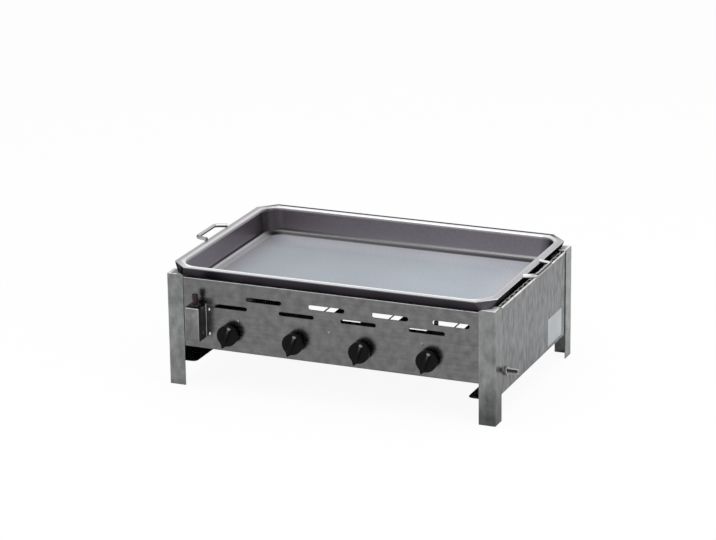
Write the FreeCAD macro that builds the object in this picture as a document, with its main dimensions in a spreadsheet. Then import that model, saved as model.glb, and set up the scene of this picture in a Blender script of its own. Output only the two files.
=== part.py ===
"""Table-top gas grill: an open sheet-steel stand, four burners with safety valves, and a lift-off pan.

Millimetres, +Z up. The origin lies on the table under the middle of the whole grill; +X runs along
the grill to the gas inlet, +Y from the knobs to the rear panel.
"""
import FreeCAD
import Part
import Sketcher
import math
import os
import re

# Driving dimensions: name, size and what it measures
SIZES = [
    ("frame_width", 800, "stand, over the legs, left to right"),
    ("frame_depth", 518, "stand, over the legs, front to rear"),
    ("frame_height", 267, "leg length"),
    ("front_y", -242.5, "front face of the legs, from the origin"),
    ("leg_flange", 40, "leg angle, each flange"),
    ("leg_thick", 2, "leg sheet"),
    ("leg_bend", 3, "outer bend radius of the leg"),
    ("gusset_reach", 40, "corner plate on a leg, each way"),
    ("gusset_thick", 2, "corner plate sheet"),
    ("sheet_thick", 1.5, "panel sheet"),
    ("fold_bend", 0.7, "inner bend radius of the panel folds"),
    ("lay_gap", 0.5, "gap between panel ends"),
    ("hole_gap", 0.2, "radial room round a screw, pin or fitting"),
    ("run_gap", 0.05, "radial room of a turning or sliding fit"),
    ("weld_gap", 0.2, "gap at a welded seat"),
    ("panel_low", 95.5, "lower edge of the front and rear panels"),
    ("panel_drop", 4, "front and rear panel tops below the leg tops"),
    ("panel_top_fold", 8, "top fold of the front and rear panels"),
    ("panel_low_fold", 10, "lower fold of the front and rear panels"),
    ("side_low", 60, "lower edge of the side panels"),
    ("side_top_fold", 12, "top fold of a side panel"),
    ("side_low_fold", 65, "lower fold of a side panel"),
    ("vent_count", 16, "vents along a side panel's top fold"),
    ("vent_long", 17, "vent length"),
    ("vent_wide", 5, "vent width"),
    ("vent_pitch", 28.5, "vent to vent"),
    ("upper_slot_long", 88, "upper air slot length"),
    ("upper_slot_tall", 10.5, "upper air slot height"),
    ("upper_slot_z", 226, "upper air slot centre height"),
    ("upper_slot_first", -159.5, "first upper air slot centre"),
    ("upper_slot_second", -4.5, "second upper air slot centre"),
    ("upper_slot_third", 149, "third upper air slot centre"),
    ("upper_slot_fourth", 294.5, "fourth upper air slot centre"),
    ("lower_slot_long", 86, "lower air slot length"),
    ("lower_slot_tall", 9.3, "lower air slot height"),
    ("lower_slot_z", 202, "lower air slot centre height"),
    ("lower_slot_first", -244, "first lower air slot centre"),
    ("lower_slot_second", -79, "second lower air slot centre"),
    ("lower_slot_third", 72, "third lower air slot centre"),
    ("lower_slot_fourth", 237, "fourth lower air slot centre"),
    ("burner_count", 4, "burners, valves and knobs"),
    ("burner_pitch", 162, "burner to burner"),
    ("shield_z", 185, "top of the valve shield's leaf"),
    ("shield_reach", 58, "valve shield leaf, from the front panel"),
    ("shield_drop", 25, "valve shield flange"),
    ("shield_half", 300, "half the valve shield's length"),
    ("notch_count", 2, "notches in the shield's rear edge"),
    ("notch_x", 32.5, "first shield notch centre"),
    ("notch_pitch", 163, "shield notch to notch"),
    ("notch_long", 45, "shield notch"),
    ("notch_deep", 8, "shield notch"),
    ("screw_spacing", 225, "shield screw to shield screw"),
    ("screw_z", 172, "shield screw height"),
    ("screw_radius", 2, "screw shank"),
    ("screw_long", 10, "screw shank length"),
    ("screw_head_radius", 4, "screw head"),
    ("screw_head_tall", 2, "screw head height"),
    ("rim_length", 786, "pan over the rim, left to right"),
    ("rim_width", 532, "pan over the rim, front to rear"),
    ("rim_front_over", 9, "rim ahead of the legs"),
    ("rim_chamfer", 40, "rim corner, cut off"),
    ("skirt_height", 22, "rim top above the legs, height of its skirt"),
    ("skirt_in", 11, "skirt's lower edge inside the rim edge"),
    ("skirt_chamfer", 20, "skirt corner at its lower edge"),
    ("pan_thick", 2, "pan sheet"),
    ("pan_depth", 59, "pan floor below the rim"),
    ("wall_inset", 22, "pan wall inside the rim edge, at the top"),
    ("wall_lean", 5, "pan wall, further in at the floor"),
    ("bowl_corner", 42, "upright inner corners of the pan"),
    ("floor_round", 10, "pan floor to wall"),
    ("rim_round", 8, "pan wall to rim"),
    ("handle_rod", 9, "handle rod diameter"),
    ("handle_base", 116, "handle feet, centre to centre"),
    ("handle_grip", 96, "handle outer bar"),
    ("handle_reach", 33, "handle beyond the rim"),
    ("handle_bend", 10, "handle rod bends, at the centre line"),
    ("handle_rise", 1.5, "handle centre line above the rim top"),
    ("manifold_setback", 70, "manifold centre behind the legs' front face"),
    ("manifold_z", 109, "manifold centre height"),
    ("manifold_side", 20, "square manifold tube"),
    ("manifold_wall", 2, "manifold tube wall"),
    ("manifold_end", 12, "fitting between manifold tube and side panel"),
    ("plug_long", 10, "manifold end fitting inside the tube"),
    ("inlet_thread_radius", 8, "inlet thread in the side panel"),
    ("inlet_thread_long", 9.5, "inlet thread from the panel's inner face"),
    ("inlet_radius", 6.58, "inlet nipple thread, outside"),
    ("inlet_long", 22, "inlet nipple"),
    ("locknut_flat", 24, "inlet locknut across flats"),
    ("locknut_tall", 6, "inlet locknut"),
    ("knob_z", 140, "knob axis height"),
    ("block_lead", 38, "valve block ahead of the manifold centre"),
    ("block_long", 52, "valve block"),
    ("block_half", 14, "half the valve block's width"),
    ("block_top", 14, "valve block above the knob axis"),
    ("bonnet_radius", 10, "valve bonnet"),
    ("bonnet_long", 12, "valve bonnet"),
    ("foot_half", 28, "half the valve foot's width"),
    ("foot_tall", 4, "valve foot"),
    ("foot_screw_x", 21, "valve foot screw from the valve axis"),
    ("foot_screw_radius", 1.5, "valve foot screw shank"),
    ("spud_radius", 5, "valve spud in the manifold"),
    ("plug_radius", 8, "valve plug"),
    ("valve_plug_long", 30, "valve plug"),
    ("plug_lead", 4, "valve plug behind the block's front"),
    ("stem_radius", 4, "valve stem"),
    ("stem_flat", 3, "flat on the stem, from its axis"),
    ("stem_in_plug", 16, "stem inside the plug at rest"),
    ("stem_room", 8, "free bore behind the stem, for the spring"),
    ("push_in", 4, "knob push-in travel"),
    ("push_room", 1, "knob to panel, pushed in"),
    ("knob_neck_radius", 19, "knob neck behind the skirt"),
    ("knob_neck_deep", 6, "knob neck, from the back"),
    ("knob_radius", 24.4, "knob skirt"),
    ("knob_point", 33, "knob pointer, its sides' meeting point from the axis"),
    ("knob_tip_round", 3, "knob pointer tip"),
    ("knob_skirt_deep", 14, "knob skirt, front to rear"),
    ("knob_grip_wide", 13, "knob grip bar"),
    ("knob_grip_tall", 5, "knob grip bar ahead of the skirt"),
    ("knob_round", 2, "knob edges"),
    ("knob_turn", 22, "pointer left of straight down, at rest"),
    ("stem_in_knob", 12, "stem inside the knob"),
    ("spring_wire", 0.8, "valve spring wire"),
    ("spring_radius", 2.4, "valve spring, to the wire's centre"),
    ("spring_turns", 4, "valve spring turns"),
    ("burner_z", 126, "burner axis height"),
    ("burner_radius", 10, "burner tube"),
    ("burner_wall", 1, "burner tube wall"),
    ("injector_radius", 5, "injector body"),
    ("injector_long", 10, "injector body"),
    ("nose_radius", 3, "injector nose"),
    ("nose_long", 10, "injector nose"),
    ("nose_clear", 4, "injector body to burner mouth"),
    ("tail_radius", 4, "burner tail pin"),
    ("tail_long", 36, "burner tail pin inside the rear panel"),
    ("tail_out", 6, "burner tail pin behind the rear panel"),
    ("tail_nut_flat", 13, "burner nut across flats"),
    ("tail_nut_tall", 5, "burner nut"),
    ("window_lead", 8, "air window behind the burner mouth"),
    ("window_long", 18, "burner air window"),
    ("window_wide", 8, "burner air window"),
    ("port_count", 24, "flame ports on a burner"),
    ("port_lead", 60, "first and last flame port from the tube's ends"),
    ("port_wide", 2.5, "flame port, along the burner"),
    ("port_across", 12, "flame port, across the burner"),
    ("thermo_out", 6, "thermocouple head behind the valve"),
    ("lead_radius", 1.5, "thermocouple lead and ignition lead"),
    ("thermo_bend", 10, "thermocouple lead bends"),
    ("thermo_side", 23, "thermocouple lead beside the burner"),
    ("thermo_turn", 28, "thermocouple lead's first bend behind its head"),
    ("thermo_run", 170, "thermocouple lead along the burner"),
    ("thermo_tip", 3, "thermocouple tip past the burner axis"),
    ("spark_x", 41, "spark electrode left of the burner"),
    ("spark_setback", 150, "spark electrode behind the legs' front face"),
    ("spark_side", 8, "spark electrode's ceramic, square"),
    ("spark_low", 116, "spark electrode's ceramic, lower end"),
    ("spark_high", 176, "spark electrode's ceramic, upper end"),
    ("spark_tip_z", 148, "spark tip height"),
    ("spark_tip_radius", 1, "spark tip wire"),
    ("spark_tip_long", 20, "spark tip wire"),
    ("ear_tall", 3, "electrode ear on the burner"),
    ("igniter_x", -321, "igniter axis"),
    ("igniter_wide", 34, "igniter box"),
    ("igniter_deep", 40, "igniter box, ahead of the front panel"),
    ("igniter_low", 124, "igniter box, lower edge"),
    ("igniter_high", 204, "igniter box, top"),
    ("igniter_sheet", 1.2, "igniter box sheet"),
    ("igniter_flange", 14, "igniter box flange"),
    ("rivet_in", 8, "igniter rivets from the box wall"),
    ("rivet_low", 10, "lower rivet above the box's lower edge"),
    ("rivet_spacing", 58, "igniter rivet to rivet"),
    ("rivet_radius", 1.6, "rivet shank"),
    ("rivet_head_radius", 3.4, "rivet head"),
    ("rivet_head_tall", 1.4, "rivet head"),
    ("barrel_radius", 8, "igniter barrel"),
    ("barrel_long", 64, "igniter barrel below the box top"),
    ("barrel_floor", 10, "solid end of the igniter barrel"),
    ("collar_radius", 11, "igniter collar"),
    ("collar_tall", 4, "igniter collar"),
    ("button_radius", 7, "igniter button cap"),
    ("button_cap_tall", 15, "igniter button cap"),
    ("button_stem_radius", 5, "igniter button stem"),
    ("button_stem_in", 24, "igniter button stem below the box top"),
    ("button_travel", 8, "igniter button travel"),
    ("button_room", 1, "cap to collar, pressed"),
    ("button_spring_wire", 1, "igniter spring wire"),
    ("button_spring_radius", 3.6, "igniter spring, to the wire's centre"),
    ("button_spring_turns", 8, "igniter spring turns"),
    ("terminal_wide", 6, "igniter terminal strip"),
    ("terminal_thick", 2, "igniter terminal strip"),
    ("lead_low", 158, "lowest ignition lead"),
    ("lead_step", 4, "ignition lead to lead"),
    ("lead_bend", 12, "ignition lead bends"),
    ("lead_setback", 24, "ignition leads behind the front panel"),
    ("lead_hole_wide", 10, "ignition lead hole"),
    ("lead_hole_edge", 4, "ignition lead hole past the outer leads"),
    ("plate_gap", 27, "rating plate to the rear leg"),
    ("plate_low", 70, "rating plate lower edge"),
    ("plate_long", 95, "rating plate"),
    ("plate_tall", 66, "rating plate"),
    ("plate_thick", 0.6, "rating plate"),
]

doc = FreeCAD.newDocument("gas_grill")
sheet = doc.addObject("Spreadsheet::Sheet", "Sizes")
for row, (alias, number, note) in enumerate(SIZES, start=1):
    sheet.set(f"A{row}", str(number))
    sheet.setAlias(f"A{row}", alias)
    sheet.set(f"B{row}", note)
doc.recompute()
size = {alias: float(sheet.get(alias)) for alias, number, note in SIZES}

X, Y, Z = FreeCAD.Vector(1, 0, 0), FreeCAD.Vector(0, 1, 0), FreeCAD.Vector(0, 0, 1)
SAME = 0.01
nodes = []


def bound(formula):
    """The formula with each size's name turned into its cell."""
    return re.sub(r"[a-z][a-z_]*", lambda word: "Sizes." + word.group(), formula)


def node(piece, name):
    """Name a finished sub-part and put it on the list of files to write."""
    piece.Label = name
    nodes.append(piece)
    return piece


def box(name, x, y, z):
    """A block between pairs of formulas along X, Y and Z."""
    block = doc.addObject("Part::Box", name)
    for side, axis, (low, high) in zip(("Length", "Width", "Height"), "xyz", (x, y, z)):
        block.setExpression(side, bound(f"({high}) - ({low})"))
        block.setExpression(f"Placement.Base.{axis}", bound(low))
    return block


def rod(name, axis, radius, span, across):
    """A round bar along an axis between two formulas; across gives its other two coordinates."""
    bar = doc.addObject("Part::Cylinder", name)
    turn = {"x": FreeCAD.Rotation(Y, 90), "y": FreeCAD.Rotation(X, -90), "z": FreeCAD.Rotation()}
    bar.Placement = FreeCAD.Placement(FreeCAD.Vector(), turn[axis])
    low, high = span
    bar.setExpression("Radius", bound(radius))
    bar.setExpression("Height", bound(f"({high}) - ({low})"))
    bar.setExpression(f"Placement.Base.{axis}", bound(low))
    for other, place in zip("xyz".replace(axis, ""), across):
        bar.setExpression(f"Placement.Base.{other}", bound(place))
    return bar


def hexagon(name, axis, flat, span, across):
    """A hexagon bar, flat across flats, along X or Y."""
    bar = doc.addObject("Part::Prism", name)
    bar.Polygon = 6
    turn = {"x": FreeCAD.Rotation(Y, 90), "y": FreeCAD.Rotation(X, -90)}
    bar.Placement = FreeCAD.Placement(FreeCAD.Vector(), turn[axis])
    low, high = span
    bar.setExpression("Circumradius", bound(f"({flat}) / 2") + " / cos(30 deg)")
    bar.setExpression("Height", bound(f"({high}) - ({low})"))
    bar.setExpression(f"Placement.Base.{axis}", bound(low))
    for other, place in zip("xyz".replace(axis, ""), across):
        bar.setExpression(f"Placement.Base.{other}", bound(place))
    return bar


def fuse(name, *pieces):
    """One solid from several that touch or overlap."""
    whole = doc.addObject("Part::MultiFuse", name)
    whole.Shapes = list(pieces)
    whole.Refine = True
    return whole


def cut(name, base, *tools):
    """The base without the tools."""
    rest = doc.addObject("Part::Cut", name)
    rest.Base = base
    rest.Tool = tools[0] if len(tools) == 1 else fuse(name + "_tools", *tools)
    rest.Refine = True
    return rest


def group(name, pieces):
    """Like pieces kept as separate solids in one sub-part."""
    whole = doc.addObject("Part::Compound", name)
    whole.Links = list(pieces)
    return whole


def sketch_on(body, name, plane, offset):
    """A sketch on one of the body's own origin planes, moved along its normal by a formula."""
    drawing = body.newObject("Sketcher::SketchObject", name)
    support = [part for part in body.Origin.OriginFeatures if part.Role == plane + "_Plane"]
    drawing.AttachmentSupport = [(support[0], "")]
    drawing.MapMode = "FlatFace"
    drawing.setExpression("AttachmentOffset.Base.z", bound(offset))
    return drawing


def place_point(drawing, label, geometry, end, place):
    """Hold a sketch point at two formulas, measured from the sketch's origin."""
    for letter, kind, formula in zip("xy", ("DistanceX", "DistanceY"), place):
        rule = drawing.addConstraint(Sketcher.Constraint(kind, -1, 1, geometry, end, 1.0))
        drawing.renameConstraint(rule, label + letter)
        drawing.setExpression(f"Constraints.{label}{letter}", bound(formula))


def outline(drawing, points):
    """A closed straight-sided outline whose corners are pairs of formulas."""
    count = len(points)
    turns = [math.tau * k / count for k in range(count)]
    start = [FreeCAD.Vector(math.cos(turn), math.sin(turn), 0) for turn in turns]
    for k in range(count):
        drawing.addGeometry(Part.LineSegment(start[k], start[(k + 1) % count]))
    for k in range(count):
        drawing.addConstraint(Sketcher.Constraint("Coincident", k, 2, (k + 1) % count, 1))
    for k, point in enumerate(points):
        place_point(drawing, f"corner{k}", k, 1, point)


def rectangle(drawing, x, y):
    """A closed rectangle between pairs of formulas."""
    outline(drawing, [(x[0], y[0]), (x[1], y[0]), (x[1], y[1]), (x[0], y[1])])


def circle(drawing, radius, place):
    """A circle whose radius and centre are formulas."""
    ring = drawing.addGeometry(Part.Circle(FreeCAD.Vector(), Z, 1.0))
    rule = drawing.addConstraint(Sketcher.Constraint("Radius", ring, 1.0))
    drawing.renameConstraint(rule, f"radius{ring}")
    drawing.setExpression(f"Constraints.radius{ring}", bound(radius))
    place_point(drawing, f"centre{ring}", ring, 3, place)


def slot(drawing, long, tall, place):
    """A slot along the sketch's first axis with half-round ends; its sizes and its centre are size names."""
    end_radius = size[tall] / 2
    reach = size[long] / 2 - end_radius
    rise = Y * end_radius
    left, right = (FreeCAD.Vector(size[place[0]] + way * reach, size[place[1]], 0) for way in (-1, 1))
    quarter = math.pi / 2
    drawing.addGeometry(Part.ArcOfCircle(Part.Circle(left, Z, end_radius), quarter, 3 * quarter))
    drawing.addGeometry(Part.LineSegment(left - rise, right - rise))
    drawing.addGeometry(Part.ArcOfCircle(Part.Circle(right, Z, end_radius), -quarter, quarter))
    drawing.addGeometry(Part.LineSegment(right + rise, left + rise))
    for first, second in ((0, 1), (1, 2), (2, 3), (3, 0)):
        drawing.addConstraint(Sketcher.Constraint("Tangent", first, 2, second, 1))
    drawing.addConstraint(Sketcher.Constraint("Horizontal", 1))
    drawing.addConstraint(Sketcher.Constraint("Equal", 0, 2))
    rule = drawing.addConstraint(Sketcher.Constraint("Radius", 0, end_radius))
    drawing.renameConstraint(rule, "end_radius")
    drawing.setExpression("Constraints.end_radius", bound(f"{tall} / 2"))
    place_point(drawing, "left_end", 0, 3, (f"{place[0]} - ({long} - {tall}) / 2", place[1]))
    rule = drawing.addConstraint(Sketcher.Constraint("DistanceX", 0, 3, 2, 3, 2 * reach))
    drawing.renameConstraint(rule, "end_spacing")
    drawing.setExpression("Constraints.end_spacing", bound(f"{long} - {tall}"))


def pad(body, name, drawing, length):
    """The outline pushed out along its sketch's normal."""
    feature = body.newObject("PartDesign::Pad", name)
    feature.Profile = drawing
    feature.setExpression("Length", bound(length))
    body.Tip = feature
    return feature


def pocket(body, name, drawing, length=None):
    """The outline cut against its sketch's normal: to a depth, or through everything."""
    feature = body.newObject("PartDesign::Pocket", name)
    feature.Profile = drawing
    if length is None:
        feature.Type = "ThroughAll"
    else:
        feature.setExpression("Length", bound(length))
    body.Tip = feature
    return feature


def row_of(body, name, feature, axis, length, count):
    """A cut repeated along one of the body's axes, spread over a length."""
    copies = body.newObject("PartDesign::LinearPattern", name)
    copies.Originals = [feature]
    line = [part for part in body.Origin.OriginFeatures if part.Role == axis + "_Axis"]
    copies.Direction = (line[0], [""])
    copies.setExpression("Length", bound(length))
    copies.setExpression("Occurrences", bound(count))
    body.Tip = copies
    return copies


def loft(body, name, kind, low, high):
    """A straight-sided solid between two outlines; kind says whether it is added or cut away."""
    feature = body.newObject("PartDesign::" + kind, name)
    feature.Profile = low
    feature.Sections = [high]
    feature.Ruled = True
    body.Tip = feature
    return feature


def rounded(body, name, radius, wanted):
    """The edges of the body so far that pass the test, rounded."""
    doc.recompute()
    base = body.Tip
    chosen = [f"Edge{k}" for k, edge in enumerate(base.Shape.Edges, start=1) if wanted(edge)]
    feature = body.newObject("PartDesign::Fillet", name)
    feature.Base = (base, chosen)
    feature.setExpression("Radius", bound(radius))
    body.Tip = feature
    return feature


def near(first, second):
    """True where two lengths are the same but for rounding."""
    return abs(first - second) < SAME


def at_height(edge, height):
    """True for an edge that lies level at a height."""
    return near(edge.BoundBox.ZMin, height) and near(edge.BoundBox.ZMax, height)


def bent_path(points, radius):
    """A wire through the points with each corner turned into a tangent arc."""
    edges = []
    start = points[0]
    for before, corner, after in zip(points, points[1:], points[2:]):
        back = (before - corner).normalize()
        onward = (after - corner).normalize()
        half = back.getAngle(onward) / 2
        reach = radius / math.tan(half)
        first, last = corner + back * reach, corner + onward * reach
        middle = corner + (back + onward).normalize() * (radius / math.sin(half) - radius)
        edges.append(Part.LineSegment(start, first).toShape())
        edges.append(Part.Arc(first, middle, last).toShape())
        start = last
    edges.append(Part.LineSegment(start, points[-1]).toShape())
    return Part.Wire(edges)


def tube_along(path, radius):
    """A round bar carried along a wire."""
    first = path.OrderedEdges[0]
    begin = first.Vertexes[0].Point
    profile = Part.Wire(Part.Circle(begin, first.tangentAt(first.FirstParameter), radius).toShape())
    return path.makePipeShell([profile], True, False)


def spring(wire, radius, turns, length):
    """A coil along +Z from the origin, of quarter-turn arcs, with the wire's ends inside its length."""
    rise = length - 2 * wire
    steps = int(4 * turns)

    def on_coil(step):
        angle = math.tau * turns * step / steps
        return FreeCAD.Vector(radius * math.cos(angle), radius * math.sin(angle), wire + rise * step / steps)

    arcs = [Part.Arc(on_coil(k), on_coil(k + 0.5), on_coil(k + 1)).toShape() for k in range(steps)]
    print("spring turn to turn gap", round(rise / turns - wire, 2))
    return tube_along(Part.Wire(arcs), wire / 2)


def solid(name, shape):
    """A sub-part whose shape no feature above can give."""
    piece = doc.addObject("Part::Feature", name)
    piece.Shape = shape
    return piece


# Faces that several pieces share
REAR = "(front_y + frame_depth)"
PANEL_FACE = "(front_y + leg_thick)"
PANEL_BACK = "(front_y + leg_thick + sheet_thick)"
REAR_FACE = "(front_y + frame_depth - leg_thick)"
SIDE_FACE = "(frame_width / 2 - leg_thick)"
SIDE_BACK = "(frame_width / 2 - leg_thick - sheet_thick)"
PANEL_TOP = "(frame_height - panel_drop)"
SIDE_TOP = "(frame_height - gusset_thick)"
SPREAD = "burner_pitch * (burner_count - 1)"


def leg(name, side, front):
    """An angle-steel leg with a corner plate across its top; side is -1 or 1, front says which end."""
    corner_y, inward = ("front_y", 1) if front else (REAR, -1)

    def from_corner(across, along):
        return (f"{side} * (frame_width / 2 - ({across}))", f"{corner_y} + {inward} * ({along})")

    body = doc.addObject("PartDesign::Body", name)
    angle = sketch_on(body, name + "_angle", "XY", "0")
    outline(angle, [from_corner("0", "0"), from_corner("leg_flange", "0"),
                    from_corner("leg_flange", "leg_thick"), from_corner("leg_thick", "leg_thick"),
                    from_corner("leg_thick", "leg_flange"), from_corner("0", "leg_flange")])
    pad(body, name + "_post", angle, "frame_height")
    corner_plan = sketch_on(body, name + "_corner", "XY", "frame_height - gusset_thick")
    outline(corner_plan, [from_corner("leg_thick", "leg_thick"), from_corner("gusset_reach", "leg_thick"),
                          from_corner("gusset_reach", "gusset_reach / 2"),
                          from_corner("gusset_reach / 2", "gusset_reach"),
                          from_corner("leg_thick", "gusset_reach")])
    pad(body, name + "_gusset", corner_plan, "gusset_thick")
    corner_x = side * size["frame_width"] / 2
    corner_at = size["front_y"] + (0 if front else size["frame_depth"])
    rounded(body, name + "_bend", "leg_bend", lambda edge:
            near(edge.BoundBox.XMin, corner_x) and near(edge.BoundBox.XMax, corner_x)
            and near(edge.BoundBox.YMin, corner_at) and near(edge.BoundBox.YMax, corner_at))
    node(body, name)


for end, front in (("front", True), ("rear", False)):
    leg(f"leg_{end}_left", -1, front)
    leg(f"leg_{end}_right", 1, front)


def bend_folds(body, name, across, face, inward, levels):
    """A panel's two folds, rounded outside and inside; face is its outer face across an axis."""
    low, high = levels
    thick = size["sheet_thick"]
    for side, depth, radius in (("outer", 0, "fold_bend + sheet_thick"), ("inner", thick, "fold_bend")):
        plane = face + inward * depth

        def wanted(edge):
            span = edge.BoundBox
            ends = (span.XMin, span.XMax) if across == "x" else (span.YMin, span.YMax)
            level = at_height(edge, low + depth) or at_height(edge, high - depth)
            return level and near(ends[0], plane) and near(ends[1], plane)

        rounded(body, f"{name}_{side}_bends", radius, wanted)


def channel(body, name, face, inward):
    """A long panel with its top and lower edges folded inwards; face is the formula of its outer face."""
    profile = sketch_on(body, name + "_profile", "YZ", f"-({SIDE_BACK} - lay_gap)")

    def at(depth):
        return f"{face} + {inward} * ({depth})"

    outline(profile, [(at("0"), "panel_low"), (at("panel_low_fold"), "panel_low"),
                      (at("panel_low_fold"), "panel_low + sheet_thick"),
                      (at("sheet_thick"), "panel_low + sheet_thick"),
                      (at("sheet_thick"), PANEL_TOP + " - sheet_thick"),
                      (at("panel_top_fold"), PANEL_TOP + " - sheet_thick"),
                      (at("panel_top_fold"), PANEL_TOP), (at("0"), PANEL_TOP)])
    pad(body, name + "_web", profile, f"2 * ({SIDE_BACK} - lay_gap)")
    setback = size["leg_thick"] if inward > 0 else size["frame_depth"] - size["leg_thick"]
    panel_levels = (size["panel_low"], size["frame_height"] - size["panel_drop"])
    bend_folds(body, name, "y", size["front_y"] + setback, inward, panel_levels)


def front_hole(body, name, radius, x, z):
    """A round hole through a front or rear panel, drawn on the panel's front face."""
    drawing = sketch_on(body, name + "_plan", "XZ", f"-{PANEL_FACE}")
    circle(drawing, radius, (x, z))
    return pocket(body, name, drawing)


FIRST_BURNER = "-burner_pitch * (burner_count - 1) / 2"
FLANGE_RIVET_X = "igniter_x + igniter_wide / 2 + rivet_in"
RIVET_Z = "igniter_low + rivet_low"
RIVETS = [RIVET_Z, RIVET_Z + " + rivet_spacing"]
SHIELD_SCREWS = ["-screw_spacing", "0", "screw_spacing"]

front_panel = doc.addObject("PartDesign::Body", "front_panel")
channel(front_panel, "front_panel", PANEL_FACE, 1)
for level in ("upper", "lower"):
    for order in ("first", "second", "third", "fourth"):
        centre_x = f"{level}_slot_{order}"
        plan = sketch_on(front_panel, centre_x + "_plan", "XZ", f"-{PANEL_FACE}")
        slot(plan, level + "_slot_long", level + "_slot_tall", (centre_x, level + "_slot_z"))
        pocket(front_panel, centre_x + "_cut", plan)
stem_hole = front_hole(front_panel, "stem_hole", "bonnet_radius", FIRST_BURNER, "knob_z")
row_of(front_panel, "stem_holes", stem_hole, "X", SPREAD, "burner_count")
screw_hole = front_hole(front_panel, "screw_hole", "screw_radius + hole_gap", "-screw_spacing", "screw_z")
row_of(front_panel, "screw_holes", screw_hole, "X", "2 * screw_spacing", str(len(SHIELD_SCREWS)))
rivet_hole = front_hole(front_panel, "rivet_hole", "rivet_radius + hole_gap", FLANGE_RIVET_X, RIVET_Z)
row_of(front_panel, "rivet_holes", rivet_hole, "Z", "rivet_spacing", str(len(RIVETS)))
LEADS_LOW = "lead_low - lead_hole_edge"
LEADS_HIGH = "lead_low + lead_step * (burner_count - 1) + lead_hole_edge"
lead_plan = sketch_on(front_panel, "lead_hole_plan", "XZ", f"-{PANEL_FACE}")
rectangle(lead_plan, ("igniter_x - lead_hole_wide / 2", "igniter_x + lead_hole_wide / 2"),
          (LEADS_LOW, LEADS_HIGH))
pocket(front_panel, "lead_hole", lead_plan)
node(front_panel, "front_panel")

rear_panel = doc.addObject("PartDesign::Body", "rear_panel")
channel(rear_panel, "rear_panel", REAR_FACE, -1)
tail_hole = front_hole(rear_panel, "tail_hole", "tail_radius + hole_gap", FIRST_BURNER, "burner_z")
row_of(rear_panel, "tail_holes", tail_hole, "X", SPREAD, "burner_count")
node(rear_panel, "rear_panel")

MANIFOLD_Y = "(front_y + manifold_setback)"


def side_panel(name, side, hole_radius):
    """A side panel with a wide lower fold and a narrow vented top fold; the manifold passes its hole."""
    body = doc.addObject("PartDesign::Body", name)

    def at(depth):
        return f"{side} * ({SIDE_FACE} - ({depth}))"

    profile = sketch_on(body, name + "_profile", "XZ", f"-{REAR_FACE}")
    outline(profile, [(at("0"), "side_low"), (at("side_low_fold"), "side_low"),
                      (at("side_low_fold"), "side_low + sheet_thick"),
                      (at("sheet_thick"), "side_low + sheet_thick"),
                      (at("sheet_thick"), SIDE_TOP + " - sheet_thick"),
                      (at("side_top_fold"), SIDE_TOP + " - sheet_thick"),
                      (at("side_top_fold"), SIDE_TOP), (at("0"), SIDE_TOP)])
    pad(body, name + "_web", profile, "frame_depth - 2 * leg_thick")
    face_x = side * (size["frame_width"] / 2 - size["leg_thick"])
    side_levels = (size["side_low"], size["frame_height"] - size["gusset_thick"])
    bend_folds(body, name, "x", face_x, -side, side_levels)
    first = "front_y + frame_depth / 2 - vent_pitch * (vent_count - 1) / 2"
    vent_plan = sketch_on(body, name + "_vent_plan", "XY", SIDE_TOP)
    centre = at("(side_top_fold + sheet_thick) / 2")
    rectangle(vent_plan, (f"{centre} - vent_wide / 2", f"{centre} + vent_wide / 2"),
              (f"{first} - vent_long / 2", f"{first} + vent_long / 2"))
    vent = pocket(body, name + "_vent", vent_plan, "2 * sheet_thick")
    row_of(body, name + "_vents", vent, "Y", "vent_pitch * (vent_count - 1)", "vent_count")
    hole_plan = sketch_on(body, name + "_hole_plan", "YZ", at("0"))
    circle(hole_plan, hole_radius, (MANIFOLD_Y, "manifold_z"))
    hole = pocket(body, name + "_hole", hole_plan, "side_top_fold / 2")
    hole.Reversed = side < 0
    node(body, name)


side_panel("side_panel_left", -1, "screw_radius + hole_gap")
side_panel("side_panel_right", 1, "inlet_thread_radius + hole_gap")

# Valve shield: an angle behind the front panel that keeps the flames' heat off the valves
leaf = box("shield_leaf", ("-shield_half", "shield_half"), (PANEL_BACK, PANEL_BACK + " + shield_reach"),
           ("shield_z - sheet_thick", "shield_z"))
drop = box("shield_flange", ("-shield_half", "shield_half"), (PANEL_BACK, PANEL_BACK + " + sheet_thick"),
           ("shield_z - shield_drop", "shield_z"))
through = (PANEL_BACK + " - sheet_thick", PANEL_BACK + " + 2 * sheet_thick")
holes = [rod(f"shield_hole_{k}", "y", "screw_radius + hole_gap", through, (x, "screw_z"))
         for k, x in enumerate(SHIELD_SCREWS)]
notches = []
for k in range(int(size["notch_count"])):
    notch_x = f"notch_x + {k} * notch_pitch"
    notches.append(box(f"shield_notch_{k}", (f"{notch_x} - notch_long / 2", f"{notch_x} + notch_long / 2"),
                       (PANEL_BACK + " + shield_reach - notch_deep", PANEL_BACK + " + shield_reach"),
                       ("shield_z - sheet_thick", "shield_z")))
node(cut("valve_shield", fuse("shield_angle", leaf, drop), *holes, *notches), "valve_shield")


def screw(name, axis, head, shank, across, radius="screw_radius", head_radius="screw_head_radius"):
    """A round-headed screw along an axis: spans of its head and shank, and its other two coordinates."""
    return fuse(name, rod(name + "_head", axis, head_radius, head, across),
                rod(name + "_shank", axis, radius, shank, across))


screws = [screw(f"shield_screw_{k}", "y", (PANEL_FACE + " - screw_head_tall", PANEL_FACE),
                (PANEL_FACE, PANEL_FACE + " + screw_long"), (x, "screw_z"))
          for k, x in enumerate(SHIELD_SCREWS)]
node(group("shield_screws", screws), "shield_screws")

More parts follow.
